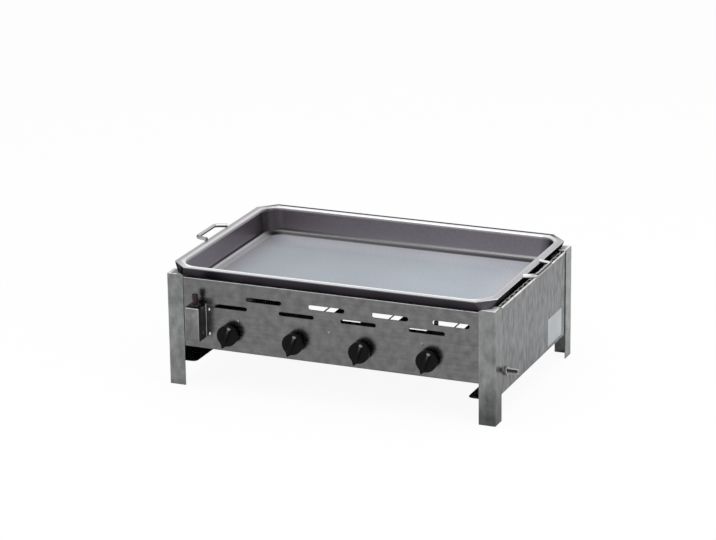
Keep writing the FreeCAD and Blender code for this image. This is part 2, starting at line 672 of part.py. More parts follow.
# Pan: a pressed bowl with a flat rim whose edge turns down into a skirt that stands on the corner plates
RIM_Z = "(frame_height + skirt_height)"
RIM_UNDER = "(frame_height + skirt_height - pan_thick)"
RIM_FRONT = "(front_y - rim_front_over)"
FLOOR_Z = "(frame_height + skirt_height - pan_depth)"
FLOOR_INSET = "(wall_inset + wall_lean)"
rim_z = size["frame_height"] + size["skirt_height"]
rim_under = rim_z - size["pan_thick"]
floor_z = rim_z - size["pan_depth"]
foot_z = floor_z - size["pan_thick"]
rim_half = size["rim_length"] / 2
rim_front = size["front_y"] - size["rim_front_over"]
rim_rear = rim_front + size["rim_width"]
# An inward offset of a cut-off corner shortens its legs by this share of the offset
CORNER_SHARE = round(2 - math.sqrt(2), 4)


def pan_ring(body, name, z, inset, chamfer):
    """A level outline inside the rim edge by an inset, with its corners cut off."""
    drawing = sketch_on(body, name, "XY", z)
    half = f"(rim_length / 2 - ({inset}))"
    low, high = f"({RIM_FRONT} + {inset})", f"({RIM_FRONT} + rim_width - ({inset}))"
    outline(drawing, [(f"{half} - ({chamfer})", low), (half, f"{low} + {chamfer}"),
                      (half, f"{high} - ({chamfer})"), (f"{half} - ({chamfer})", high),
                      (f"{chamfer} - {half}", high), (f"-{half}", f"{high} - ({chamfer})"),
                      (f"-{half}", f"{low} + {chamfer}"), (f"{chamfer} - {half}", low)])
    return drawing


def leaning_block(body, name, span, insets):
    """A four-sided block between two heights, inside the rim edge by an inset at each."""
    block = body.newObject("PartDesign::AdditiveWedge", name)
    support = [part for part in body.Origin.OriginFeatures if part.Role == "XZ_Plane"]
    block.AttachmentSupport = [(support[0], "")]
    block.MapMode = "FlatFace"
    for limit, height in zip(("Ymin", "Ymax"), span):
        block.setExpression(limit, bound(height))
    for level, inset in zip(("", "2"), insets):
        block.setExpression(f"X{level}min", bound(f"{inset} - rim_length / 2"))
        block.setExpression(f"X{level}max", bound(f"rim_length / 2 - ({inset})"))
        block.setExpression(f"Z{level}min", bound(f"{inset} - {RIM_FRONT} - rim_width"))
        block.setExpression(f"Z{level}max", bound(f"-{RIM_FRONT} - ({inset})"))
    body.Tip = block


def level_inside(edge, height):
    """True for a level edge of the bowl, clear of the rim's outer edge."""
    span = edge.BoundBox
    inset = min(rim_half - span.XMax, rim_half + span.XMin, span.YMin - rim_front, rim_rear - span.YMax)
    return at_height(edge, height) and inset > size["wall_inset"] / 2


def slanted_corner(edge, bottom):
    """True for a bowl corner edge: it starts at the bottom and climbs."""
    return near(edge.BoundBox.ZMin, bottom) and edge.BoundBox.ZMax > bottom + size["pan_depth"] / 2


def bowl_form(name, growth, foot, mouth):
    """The bowl's form with a flat plate over its mouth, grown outwards; foot and mouth are its heights."""
    body = doc.addObject("PartDesign::Body", name)
    leaning_block(body, name + "_block", (foot[0], mouth[0]),
                  (f"{FLOOR_INSET} - {growth} * pan_thick", f"wall_inset - {growth} * pan_thick"))
    rounded(body, name + "_corners", f"bowl_corner + {growth} * pan_thick",
            lambda edge: slanted_corner(edge, foot[1]))
    rounded(body, name + "_foot", f"floor_round + {growth} * pan_thick",
            lambda edge: at_height(edge, foot[1]))
    plate = pan_ring(body, name + "_plate_plan", mouth[0], "0", "rim_chamfer")
    pad(body, name + "_plate", plate, "pan_thick")
    rounded(body, name + "_mouth", f"rim_round - {growth} * pan_thick",
            lambda edge: level_inside(edge, mouth[1]))
    return body


bowl = bowl_form("pan_bowl", 1, (FLOOR_Z + " - pan_thick", foot_z), (RIM_UNDER, rim_under))
hollow = bowl_form("pan_hollow", 0, (FLOOR_Z, floor_z), (RIM_Z, rim_z))
skirt = doc.addObject("PartDesign::Body", "pan_skirt")
loft(skirt, "skirt_block", "AdditiveLoft",
     pan_ring(skirt, "skirt_foot", "frame_height", "skirt_in", "skirt_chamfer"),
     pan_ring(skirt, "skirt_top", RIM_UNDER, "0", "rim_chamfer"))
loft(skirt, "skirt_hollow", "SubtractiveLoft",
     pan_ring(skirt, "hollow_foot", "frame_height", "skirt_in + pan_thick",
              f"skirt_chamfer - pan_thick * {CORNER_SHARE}"),
     pan_ring(skirt, "hollow_top", RIM_UNDER, "pan_thick", f"rim_chamfer - pan_thick * {CORNER_SHARE}"))
node(cut("pan", fuse("pan_outside", bowl, skirt), hollow), "pan")

# Pan handles: bent round rods welded to the middle of the two short rims
for side, name in ((-1, "pan_handle_left"), (1, "pan_handle_right")):
    rod_radius = size["handle_rod"] / 2
    bar_x = rim_half + size["handle_reach"] - rod_radius
    middle_y = (rim_front + rim_rear) / 2
    handle_z = rim_z + size["handle_rise"]
    slope = (size["handle_base"] - size["handle_grip"]) / 2 / (bar_x - rim_half)
    root_x = rim_half - size["handle_rod"]
    root_half = size["handle_base"] / 2 + slope * size["handle_rod"]
    grip_half = size["handle_grip"] / 2
    route = [(root_x, -root_half), (bar_x, -grip_half), (bar_x, grip_half), (root_x, root_half)]
    bends = [FreeCAD.Vector(side * x, middle_y + along, handle_z) for x, along in route]
    loop = tube_along(bent_path(bends, size["handle_bend"]), rod_radius)
    seat_x = rim_half + size["weld_gap"]
    trim_corner = FreeCAD.Vector(-seat_x, rim_front, handle_z - size["handle_rod"])
    trim = Part.makeBox(2 * seat_x, size["rim_width"], 2 * size["handle_rod"], trim_corner)
    node(solid(name, loop.cut(trim)), name)

# Gas manifold: a square tube under the valves, closed at the left and fed at the right
TUBE_HALF = "manifold_side / 2"
TUBE_END = f"({SIDE_BACK} - manifold_end)"
TUBE_Y = (f"{MANIFOLD_Y} - {TUBE_HALF}", f"{MANIFOLD_Y} + {TUBE_HALF}")
TUBE_Z = (f"manifold_z - {TUBE_HALF}", f"manifold_z + {TUBE_HALF}")
BORE_HALF = "(manifold_side / 2 - manifold_wall)"
BORE_Y = (f"{MANIFOLD_Y} - {BORE_HALF}", f"{MANIFOLD_Y} + {BORE_HALF}")
BORE_Z = (f"manifold_z - {BORE_HALF}", f"manifold_z + {BORE_HALF}")
SEAT_Z = "(manifold_z + manifold_side / 2)"
tube = box("manifold_outside", (f"-{TUBE_END}", TUBE_END), TUBE_Y, TUBE_Z)
bore = box("manifold_bore", (f"-{TUBE_END}", TUBE_END), BORE_Y, BORE_Z)
burners = range(int(size["burner_count"]))
BURNER_X = [f"({FIRST_BURNER} + {k} * burner_pitch)" for k in burners]
WALL_SPAN = (SEAT_Z + " - 2 * manifold_wall", SEAT_Z + " + manifold_wall")
taps = []
for k, x in enumerate(BURNER_X):
    taps.append(rod(f"spud_hole_{k}", "z", "spud_radius + hole_gap", WALL_SPAN, (x, MANIFOLD_Y)))
    for way in (-1, 1):
        tap_x = f"{x} + {way} * foot_screw_x"
        taps.append(rod(f"foot_tap_{k}_{way + 1}", "z", "foot_screw_radius + hole_gap", WALL_SPAN,
                        (tap_x, MANIFOLD_Y)))
node(cut("gas_manifold", tube, bore, *taps), "gas_manifold")


def end_plug(name, side):
    """A square fitting that closes a manifold end: a plug in the tube and a block out to the side panel."""
    low, high = (f"-{SIDE_BACK}", f"-{TUBE_END}") if side < 0 else (TUBE_END, SIDE_BACK)
    block = box(name + "_block", (low, high), TUBE_Y, TUBE_Z)
    slack = [(f"{first} + hole_gap", f"{last} - hole_gap") for first, last in (BORE_Y, BORE_Z)]
    span = (f"-{TUBE_END}", f"plug_long - {TUBE_END}") if side < 0 else (f"{TUBE_END} - plug_long", TUBE_END)
    return fuse(name + "_body", block, box(name + "_plug", span, *slack))


AXIS = (MANIFOLD_Y, "manifold_z")
screw_bore = rod("cap_screw_bore", "x", "screw_radius + hole_gap",
                 (f"-{SIDE_BACK}", f"screw_long - {SIDE_FACE}"), AXIS)
node(cut("manifold_cap", end_plug("cap", -1), screw_bore), "manifold_cap")
node(screw("manifold_screw", "x", (f"-{SIDE_FACE} - screw_head_tall", f"-{SIDE_FACE}"),
           (f"-{SIDE_FACE}", f"screw_long - {SIDE_FACE}"), AXIS), "manifold_screw")
THREAD_END = f"({SIDE_BACK} + inlet_thread_long)"
thread = rod("inlet_thread", "x", "inlet_thread_radius", (SIDE_BACK, THREAD_END), AXIS)
nipple = rod("inlet_nipple", "x", "inlet_radius", (THREAD_END, THREAD_END + " + inlet_long"), AXIS)
passage = rod("inlet_passage", "x", "inlet_radius / 2",
              (f"{TUBE_END} - plug_long", THREAD_END + " + inlet_long"), AXIS)
node(cut("gas_inlet", fuse("inlet_body", end_plug("inlet", 1), thread, nipple), passage), "gas_inlet")
nut_span = (SIDE_FACE, SIDE_FACE + " + locknut_tall")
node(cut("inlet_locknut", hexagon("locknut_blank", "x", "locknut_flat", nut_span, AXIS),
         rod("locknut_bore", "x", "inlet_thread_radius + hole_gap", nut_span, AXIS)), "inlet_locknut")

# Valves: a block on the manifold, a plug that turns in it and a keyed stem that slides in the plug
BLOCK_FRONT = f"({MANIFOLD_Y} - block_lead)"
BLOCK_REAR = f"({BLOCK_FRONT} + block_long)"
PLUG_FRONT = f"({BLOCK_FRONT} + plug_lead)"
PLUG_REAR = f"({PLUG_FRONT} + valve_plug_long)"
STEM_END = f"({PLUG_FRONT} + stem_in_plug)"
BORE_END = f"({STEM_END} + stem_room)"
KNOB_BACK = f"({PANEL_FACE} - push_in - push_room)"
foot_screws = []
injectors = []
tail_nuts = []


def valve(number, x):
    """One valve with its body, plug, stem and spring."""
    axis = (x, "knob_z")
    name = f"valve_body_{number}"
    top = SEAT_Z + " + foot_tall"
    foot = box(name + "_foot", (f"{x} - foot_half", f"{x} + foot_half"), TUBE_Y, (SEAT_Z, top))
    block = box(name + "_block", (f"{x} - block_half", f"{x} + block_half"), (BLOCK_FRONT, BLOCK_REAR),
                (SEAT_Z, "knob_z + block_top"))
    nose = f"{BLOCK_FRONT} - bonnet_long"
    bonnet = rod(name + "_bonnet", "y", "bonnet_radius", (nose, BLOCK_FRONT), axis)
    spud = rod(name + "_spud", "z", "spud_radius", (SEAT_Z + " - manifold_wall", SEAT_Z), (x, MANIFOLD_Y))
    cuts = [rod(name + "_stem_bore", "y", "stem_radius + run_gap", (nose, PLUG_FRONT), axis),
            rod(name + "_plug_bore", "y", "plug_radius + run_gap", (PLUG_FRONT, BLOCK_REAR), axis)]
    for way in (-1, 1):
        place = (f"{x} + {way} * foot_screw_x", MANIFOLD_Y)
        cuts.append(rod(f"{name}_hole_{way + 1}", "z", "foot_screw_radius + hole_gap", (SEAT_Z, top), place))
        foot_screws.append(screw(f"foot_screw_{number}_{way + 1}", "z", (top, top + " + screw_head_tall"),
                                 (SEAT_Z + " - 2 * manifold_wall", top), place, "foot_screw_radius",
                                 "2 * foot_screw_radius"))
    node(cut(name, fuse(name + "_casting", foot, block, bonnet, spud), *cuts), name)

    name = f"valve_plug_{number}"
    blank = rod(name + "_blank", "y", "plug_radius", (PLUG_FRONT, PLUG_REAR), axis)
    bore = rod(name + "_bore", "y", "stem_radius + run_gap", (PLUG_FRONT, BORE_END), axis)
    key = box(name + "_key", (f"{x} - stem_radius - run_gap", f"{x} + stem_radius + run_gap"),
              (PLUG_FRONT, BORE_END), ("knob_z + stem_flat + run_gap", "knob_z + stem_radius + run_gap"))
    node(cut(name, blank, cut(name + "_keyed_bore", bore, key)), name)

    name = f"valve_stem_{number}"
    stem = rod(name + "_bar", "y", "stem_radius", (KNOB_BACK + " - stem_in_knob", STEM_END), axis)
    flat = box(name + "_flat", (f"{x} - stem_radius", f"{x} + stem_radius"),
               (PLUG_FRONT + " - push_in", STEM_END), ("knob_z + stem_flat", "knob_z + stem_radius"))
    node(cut(name, stem, flat), name)

    name = f"valve_spring_{number}"
    coil = solid(name, spring(size["spring_wire"], size["spring_radius"],
                              size["spring_turns"], size["stem_room"]))
    coil.Placement = FreeCAD.Placement(FreeCAD.Vector(), FreeCAD.Rotation(X, -90))
    for axis_name, formula in zip("xyz", (x, STEM_END, "knob_z")):
        coil.setExpression(f"Placement.Base.{axis_name}", bound(formula))
    node(coil, name)


def knob(number, x):
    """A moulded knob: a round neck, a teardrop skirt whose tip points, and a grip bar across its front."""
    name = f"knob_{number}"
    body = doc.addObject("PartDesign::Body", name)
    neck = sketch_on(body, name + "_neck_plan", "XZ", f"-{KNOB_BACK}")
    circle(neck, "knob_neck_radius", ("0", "0"))
    pad(body, name + "_neck", neck, "knob_neck_deep")
    skirt = sketch_on(body, name + "_skirt_plan", "XZ", f"knob_neck_deep - {KNOB_BACK}")
    swing = math.acos(size["knob_radius"] / size["knob_point"])
    down = -math.pi / 2
    whole_round = Part.Circle(FreeCAD.Vector(), Z, size["knob_radius"])
    round_side = Part.ArcOfCircle(whole_round, down + swing, down - swing + math.tau)
    tip = FreeCAD.Vector(0, -size["knob_point"], 0)
    skirt.addGeometry(round_side)
    skirt.addGeometry(Part.LineSegment(round_side.EndPoint, tip))
    skirt.addGeometry(Part.LineSegment(tip, round_side.StartPoint))
    skirt.addConstraint(Sketcher.Constraint("Coincident", 0, 3, -1, 1))
    skirt.addConstraint(Sketcher.Constraint("Tangent", 0, 2, 1, 1))
    skirt.addConstraint(Sketcher.Constraint("Coincident", 1, 2, 2, 1))
    skirt.addConstraint(Sketcher.Constraint("Tangent", 2, 2, 0, 1))
    rule = skirt.addConstraint(Sketcher.Constraint("Radius", 0, size["knob_radius"]))
    skirt.renameConstraint(rule, "skirt_radius")
    skirt.setExpression("Constraints.skirt_radius", bound("knob_radius"))
    place_point(skirt, "tip", 1, 2, ("0", "-knob_point"))
    pad(body, name + "_skirt", skirt, "knob_skirt_deep")
    rounded(body, name + "_tip", "knob_tip_round", lambda edge: near(edge.BoundBox.ZMax, -size["knob_point"]))
    back = size["front_y"] + size["leg_thick"] - size["push_in"] - size["push_room"]
    skirt_front = back - size["knob_neck_deep"] - size["knob_skirt_deep"]
    rounded(body, name + "_skirt_edge", "knob_round", lambda edge: near(edge.BoundBox.YMax, skirt_front))
    grip = sketch_on(body, name + "_grip_plan", "XZ", f"knob_neck_deep - {KNOB_BACK}")
    grip_end = "(knob_radius - 2 * knob_round)"
    rectangle(grip, ("-knob_grip_wide / 2", "knob_grip_wide / 2"), (f"-{grip_end}", grip_end))
    pad(body, name + "_grip", grip, "knob_skirt_deep + knob_grip_tall")
    grip_front = skirt_front - size["knob_grip_tall"]
    rounded(body, name + "_grip_edge", "knob_round", lambda edge: near(edge.BoundBox.YMax, grip_front))
    bore = sketch_on(body, name + "_bore_plan", "XZ", f"-{KNOB_BACK}")
    circle(bore, "stem_radius + run_gap", ("0", "0"))
    pocket(body, name + "_bore", bore, "stem_in_knob + run_gap").Reversed = True
    body.Placement = FreeCAD.Placement(FreeCAD.Vector(), FreeCAD.Rotation(Y, size["knob_turn"]))
    body.setExpression("Placement.Base.x", bound(x))
    body.setExpression("Placement.Base.z", bound("knob_z"))
    node(body, name)


MOUTH = f"({BLOCK_REAR} + injector_long + nose_clear)"
TUBE_REAR = f"({REAR_FACE} - tail_long)"


def burner(number, x):
    """A straight burner tube: its mouth over the injector nose, ports on top and a tail pin behind."""
    name = f"burner_{number}"
    body = doc.addObject("PartDesign::Body", name)
    half = sketch_on(body, name + "_half", "YZ", "0")
    inside = "burner_radius - burner_wall"
    outline(half, [(MOUTH, "nose_radius + hole_gap"), (MOUTH, "burner_radius"), (TUBE_REAR, "burner_radius"),
                   (TUBE_REAR, "tail_radius"), (f"{REAR_FACE} + tail_out", "tail_radius"),
                   (f"{REAR_FACE} + tail_out", "0"), (f"{TUBE_REAR} - burner_wall", "0"),
                   (f"{TUBE_REAR} - burner_wall", inside), (f"{MOUTH} + burner_wall", inside),
                   (f"{MOUTH} + burner_wall", "nose_radius + hole_gap")])
    turned = body.newObject("PartDesign::Revolution", name + "_tube")
    turned.Profile = half
    turned.ReferenceAxis = (half, ["H_Axis"])
    body.Tip = turned
    spark_y = "(front_y + spark_setback)"
    ear = sketch_on(body, name + "_ear_plan", "XY", "-ear_tall / 2")
    rectangle(ear, ("spark_side / 2 - spark_x", "burner_wall / 2 - burner_radius"),
              (f"{spark_y} - spark_side / 2", f"{spark_y} + spark_side / 2"))
    pad(body, name + "_ear", ear, "ear_tall")
    window = sketch_on(body, name + "_window_plan", "XY", "burner_radius")
    rectangle(window, ("-window_wide / 2", "window_wide / 2"),
              (f"{MOUTH} + window_lead", f"{MOUTH} + window_lead + window_long"))
    pocket(body, name + "_window", window)
    first_port = f"({MOUTH} + port_lead)"
    port = sketch_on(body, name + "_port_plan", "XY", "burner_radius")
    rectangle(port, ("-port_across / 2", "port_across / 2"),
              (f"{first_port} - port_wide / 2", f"{first_port} + port_wide / 2"))
    one_port = pocket(body, name + "_port", port, "burner_radius / 2")
    row_of(body, name + "_ports", one_port, "Y", f"{TUBE_REAR} - port_lead - {first_port}", "port_count")
    body.setExpression("Placement.Base.x", bound(x))
    body.setExpression("Placement.Base.z", bound("burner_z"))
    node(body, name)

    jet_axis = (x, "burner_z")
    jet_end = f"{BLOCK_REAR} + injector_long"
    name = f"injector_{number}"
    jet = rod(name + "_body", "y", "injector_radius", (BLOCK_REAR, jet_end), jet_axis)
    nose = rod(name + "_nose", "y", "nose_radius", (jet_end, jet_end + " + nose_long"), jet_axis)
    injectors.append(fuse(name, jet, nose))
    name = f"burner_nut_{number}"
    nut_span = (REAR_FACE, REAR_FACE + " + tail_nut_tall")
    blank = hexagon(name + "_blank", "y", "tail_nut_flat", nut_span, jet_axis)
    bore = rod(name + "_bore", "y", "tail_radius + hole_gap", nut_span, jet_axis)
    tail_nuts.append(cut(name, blank, bore))


def thermocouple(number, x_place):
    """A thermocouple: a head in the valve's rear and a stiff lead that bends to a tip over the burner."""
    name = f"thermocouple_{number}"
    rear = size["front_y"] + size["manifold_setback"] - size["block_lead"] + size["block_long"]
    plug_rear = rear - size["block_long"] + size["plug_lead"] + size["valve_plug_long"]
    head_front, head_rear = plug_rear + size["lay_gap"], rear + size["thermo_out"]
    head = Part.makeCylinder(size["plug_radius"], head_rear - head_front, FreeCAD.Vector(0, head_front, 0), Y)
    turn_y = head_rear + size["thermo_turn"]
    far_y = turn_y + size["thermo_run"]
    side_x = -size["thermo_side"]
    route = [(0, head_rear), (0, turn_y), (side_x, turn_y), (side_x, far_y), (size["thermo_tip"], far_y)]
    path = bent_path([FreeCAD.Vector(across, along, 0) for across, along in route], size["thermo_bend"])
    piece = solid(name, head.fuse(tube_along(path, size["lead_radius"])).removeSplitter())
    piece.setExpression("Placement.Base.x", bound(x_place))
    piece.setExpression("Placement.Base.z", bound("knob_z"))
    node(piece, name)


for k, x in enumerate(BURNER_X):
    valve(k + 1, x)
    knob(k + 1, x)
    burner(k + 1, x)
    thermocouple(k + 1, x)
node(group("valve_screws", foot_screws), "valve_screws")
node(group("injectors", injectors), "injectors")
node(group("burner_nuts", tail_nuts), "burner_nuts")

# Igniter: a bent sheet box riveted to the front panel that carries a push-button spark unit
BOX_X = ("igniter_x - igniter_wide / 2", "igniter_x + igniter_wide / 2")
BOX_FRONT = f"({PANEL_FACE} - igniter_deep)"
outside = box("igniter_outside", BOX_X, (BOX_FRONT, PANEL_FACE), ("igniter_low", "igniter_high"))
flange = box("igniter_flange_strip", (BOX_X[1] + " - igniter_sheet", BOX_X[1] + " + igniter_flange"),
             (PANEL_FACE + " - igniter_sheet", PANEL_FACE), ("igniter_low", "igniter_high"))
inside = box("igniter_inside", (BOX_X[0] + " + igniter_sheet", BOX_X[1] + " - igniter_sheet"),
             (BOX_FRONT + " + igniter_sheet", PANEL_FACE), ("igniter_low", "igniter_high - igniter_sheet"))
IGNITER_Y = f"({PANEL_FACE} - igniter_deep / 2)"
IGNITER_AXIS = ("igniter_x", IGNITER_Y)
barrel_hole = rod("barrel_hole", "z", "barrel_radius + hole_gap",
                  ("igniter_high - 2 * igniter_sheet", "igniter_high"), IGNITER_AXIS)
RIVET_FRONT = PANEL_FACE + " - igniter_sheet"
flange_span = (RIVET_FRONT, PANEL_FACE)
flange_holes = [rod(f"flange_hole_{k}", "y", "rivet_radius + hole_gap", flange_span, (FLANGE_RIVET_X, z))
                for k, z in enumerate(RIVETS)]
shell = fuse("igniter_shell", outside, flange)
node(cut("igniter_box", shell, inside, barrel_hole, *flange_holes), "igniter_box")

rivets = []
for k, z in enumerate(RIVETS):
    rivet_axis = (FLANGE_RIVET_X, z)
    head_span = (RIVET_FRONT + " - rivet_head_tall", RIVET_FRONT)
    tail_span = (PANEL_BACK, PANEL_BACK + " + rivet_head_tall")
    rivets.append(fuse(f"igniter_rivet_{k}",
                       rod(f"rivet_{k}_head", "y", "rivet_head_radius", head_span, rivet_axis),
                       rod(f"rivet_{k}_shank", "y", "rivet_radius", (RIVET_FRONT, PANEL_BACK), rivet_axis),
                       rod(f"rivet_{k}_tail", "y", "rivet_head_radius", tail_span, rivet_axis)))
node(group("igniter_rivets", rivets), "igniter_rivets")

STEM_FOOT = "(igniter_high - button_stem_in)"
BARREL_FOOT = "(igniter_high - barrel_long)"
SPRING_FOOT = f"({BARREL_FOOT} + barrel_floor)"
COLLAR_TOP = "(igniter_high + collar_tall)"
barrel = rod("barrel_tube", "z", "barrel_radius", (BARREL_FOOT, "igniter_high"), IGNITER_AXIS)
collar = rod("barrel_collar", "z", "collar_radius", ("igniter_high", COLLAR_TOP), IGNITER_AXIS)
terminal = box("barrel_terminal", ("igniter_x - terminal_wide / 2", "igniter_x + terminal_wide / 2"),
               (IGNITER_Y, f"{IGNITER_Y} + barrel_radius + terminal_thick"), (LEADS_LOW, LEADS_HIGH))
button_bore = rod("button_bore", "z", "button_stem_radius + run_gap", (SPRING_FOOT, COLLAR_TOP), IGNITER_AXIS)
node(cut("igniter_barrel", fuse("barrel_body", barrel, collar, terminal), button_bore), "igniter_barrel")

CAP_LOW = f"({COLLAR_TOP} + button_room + button_travel)"
cap = rod("button_cap", "z", "button_radius", (CAP_LOW, CAP_LOW + " + button_cap_tall"), IGNITER_AXIS)
stem = rod("button_stem", "z", "button_stem_radius", (STEM_FOOT, CAP_LOW), IGNITER_AXIS)
node(fuse("igniter_button", cap, stem), "igniter_button")
spring_long = size["barrel_long"] - size["barrel_floor"] - size["button_stem_in"]
coil = solid("igniter_spring", spring(size["button_spring_wire"], size["button_spring_radius"],
                                      size["button_spring_turns"], spring_long))
for axis_name, formula in zip("xyz", IGNITER_AXIS + (SPRING_FOOT,)):
    coil.setExpression(f"Placement.Base.{axis_name}", bound(formula))
node(coil, "igniter_spring")

# Spark electrodes beside the burners, and the leads that feed them from the igniter
electrodes = []
leads = []
panel_face = size["front_y"] + size["leg_thick"]
start_y = panel_face - size["igniter_deep"] / 2 + size["barrel_radius"] + size["terminal_thick"]
run_y = panel_face + size["sheet_thick"] + size["lead_setback"]
end_y = size["front_y"] + size["spark_setback"] - size["spark_side"] / 2
first_x = -size["burner_pitch"] * (size["burner_count"] - 1) / 2 - size["spark_x"]
for k, x in enumerate(BURNER_X):
    post_x = (f"{x} - spark_x - spark_side / 2", f"{x} - spark_x + spark_side / 2")
    post_y = ("front_y + spark_setback - spark_side / 2", "front_y + spark_setback + spark_side / 2")
    post = box(f"spark_post_{k}", post_x, post_y, ("spark_low", "spark_high"))
    tip = rod(f"spark_tip_{k}", "x", "spark_tip_radius", (post_x[1], f"{post_x[1]} + spark_tip_long"),
              ("front_y + spark_setback", "spark_tip_z"))
    electrodes.append(fuse(f"spark_electrode_{k}", post, tip))
    end_x = first_x + k * size["burner_pitch"]
    level = size["lead_low"] + k * size["lead_step"]
    route = [(size["igniter_x"], start_y), (size["igniter_x"], run_y), (end_x, run_y), (end_x, end_y)]
    path = bent_path([FreeCAD.Vector(across, along, level) for across, along in route], size["lead_bend"])
    leads.append(solid(f"ignition_lead_{k}", tube_along(path, size["lead_radius"])))
node(group("spark_electrodes", electrodes), "spark_electrodes")
node(group("ignition_leads", leads), "ignition_leads")

# Rating plate: a blank plate on the right side panel
PLATE_Y = f"({REAR} - leg_flange - plate_gap - plate_long)"
node(box("rating_plate", (SIDE_FACE, SIDE_FACE + " + plate_thick"), (PLATE_Y, PLATE_Y + " + plate_long"),
         ("plate_low", "plate_low + plate_tall")), "rating_plate")

doc.recompute()
for piece in doc.Objects:
    if "Invalid" in piece.State or "Error" in piece.State:
        raise RuntimeError(f"{piece.Label} failed: {piece.State}")
    if piece.TypeId == "PartDesign::Pocket" and piece.Shape.Volume >= piece.BaseFeature.Shape.Volume:
        raise RuntimeError(f"{piece.Label} cuts nothing")
os.makedirs("parts", exist_ok=True)
for piece in nodes:
    if piece.Shape.isNull() or not piece.Shape.isValid():
        raise RuntimeError(f"{piece.Label} has no valid shape")
for piece in nodes:
    piece.Shape.exportStep(f"parts/{piece.Label}.step")
print(len(nodes), "sub-parts written")
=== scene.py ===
import bmesh
import bpy
import numpy as np
from mathutils import Matrix


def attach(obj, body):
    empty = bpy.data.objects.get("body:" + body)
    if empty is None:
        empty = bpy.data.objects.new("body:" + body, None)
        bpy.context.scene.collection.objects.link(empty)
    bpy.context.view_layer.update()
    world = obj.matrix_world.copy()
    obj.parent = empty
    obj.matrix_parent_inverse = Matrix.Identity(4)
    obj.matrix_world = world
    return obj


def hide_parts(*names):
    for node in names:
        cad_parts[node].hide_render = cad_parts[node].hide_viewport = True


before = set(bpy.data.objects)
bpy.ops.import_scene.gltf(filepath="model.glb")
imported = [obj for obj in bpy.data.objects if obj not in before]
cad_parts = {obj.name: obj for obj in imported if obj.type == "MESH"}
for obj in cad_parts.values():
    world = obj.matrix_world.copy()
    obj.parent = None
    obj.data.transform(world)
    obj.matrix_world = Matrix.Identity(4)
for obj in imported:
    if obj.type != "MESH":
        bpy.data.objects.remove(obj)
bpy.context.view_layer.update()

# Legs: four angles folded from 2 mm stainless sheet, open towards the middle of the stand.
# They stand outside the panels, and each has a corner plate of the same sheet welded into its top.
MM = 0.001
JOIN = 1e-6
SIDES = ((-1, "left"), (1, "right"))
HALF_WIDTH = 400.0
FRONT_Y = -242.5
REAR_Y = 275.5
LEG_TOP = 267.0
LEG_FLANGE = 40.0
LEG_SHEET = 2.0
LEG_BEND = 3.0
LEG_LIP = 1.2
LEG_ROWS = 12
PLATE_CUT = 20.0
CORNER_PLATE = [(LEG_SHEET, LEG_SHEET), (LEG_FLANGE, LEG_SHEET), (LEG_FLANGE, PLATE_CUT),
                (PLATE_CUT, LEG_FLANGE), (LEG_SHEET, LEG_FLANGE)]
LEG_COLOUR = (0.225, 0.230, 0.229)
SATIN_COLOUR = (0.75, 0.75, 0.74)
SATIN_METAL = 0.3
# A layer of noise on a metal: how often it changes in a metre each way, its detail, and its strength
UPRIGHT_GRAIN = ((150.0, 150.0, 5.0), 5.0, 0.06)
MOTTLE = ((60.0, 60.0, 40.0), 3.0, 0.26)
# Nearly all of a noise lies in this span
NOISE_SPAN = (0.3, 0.7)
ROUGH_CHANGE = 0.15
GRAIN_DEPTH = 0.0002
# A path turns where the cosine between two of its steps is below this
STRAIGHT = 0.98
# How much brighter the legs' bends are painted, as a highlight
LEG_BEND_HIGHLIGHT = 0.15
# Painted light and shade on each leg: tones of its face, side, foot and the face's inner lip
LEG_LIGHT_AND_SHADE = {"leg_front_left": (1.0, 1.0, 0.92, 1.6), "leg_front_right": (1.08, 0.84, 0.48, 1.3),
             "leg_rear_left": (1.0, 1.0, 0.92, 0.6), "leg_rear_right": (1.0, 1.15, 0.92, 0.6)}
# Between these heights the leg's tone goes over to its foot tone, towards the bottom
FOOT_HEIGHTS = (35.0, 110.0)
# Rings of a corner plate as shares of its size, and the tone of each: painted shade under the pan
# darkens the middle, and one plate has painted light on it and is brighter
PLATE_RINGS = (1.0, 0.86, 0.66, 0.0)
PLATE_SHADE_TONES = (1.1, 1.0, 0.32, 0.25)
LIT_PLATE = "leg_front_right"
LIT_PLATE_TONES = (1.1, 1.1, 0.95, 0.6)


def grid_of(x, y, z):
    """Grid of places from three arrays that spread over the same rows and columns."""
    return np.stack(np.broadcast_arrays(x, y, z), axis=-1).astype(float)


def patch(grid, around=False, keep=None, tint=1.0):
    """Places, four-cornered faces and tints of a grid; around joins its last column to its first.
    keep tells for each face whether it stays; tint is the share of the metal's colour at each place."""
    rows, columns = grid.shape[:2]
    index = np.arange(rows * columns).reshape(rows, columns)
    if around:
        index = np.hstack([index, index[:, :1]])
    faces = np.stack([index[:-1, :-1], index[:-1, 1:], index[1:, 1:], index[1:, :-1]], axis=-1)
    faces = faces.reshape(-1, 4) if keep is None else faces[keep]
    return grid.reshape(-1, 3), faces, np.broadcast_to(tint, grid.shape).reshape(-1, 3)


def bent(corners, radius, steps=6):
    """Path through corners, each inner one rounded: an arc between its two tangent points,
    whose places turn evenly about the arc's centre."""
    corners = np.array(corners, float)
    parts = [corners[:1]]
    for before, here, after in zip(corners[:-2], corners[1:-1], corners[2:]):
        back = (before - here) / np.linalg.norm(before - here)
        onward = (after - here) / np.linalg.norm(after - here)
        half = np.arccos(back @ onward) / 2
        centre = here + (back + onward) / np.linalg.norm(back + onward) * radius / np.sin(half)
        first = here + back * radius / np.tan(half) - centre
        last = here + onward * radius / np.tan(half) - centre
        sweep = np.pi - 2 * half
        step = np.linspace(0, 1, steps + 1)[:, None]
        arc = np.sin((1 - step) * sweep) * first + np.sin(step * sweep) * last
        parts.append(centre + arc / np.sin(sweep))
    parts.append(corners[-1:])
    return np.concatenate(parts)


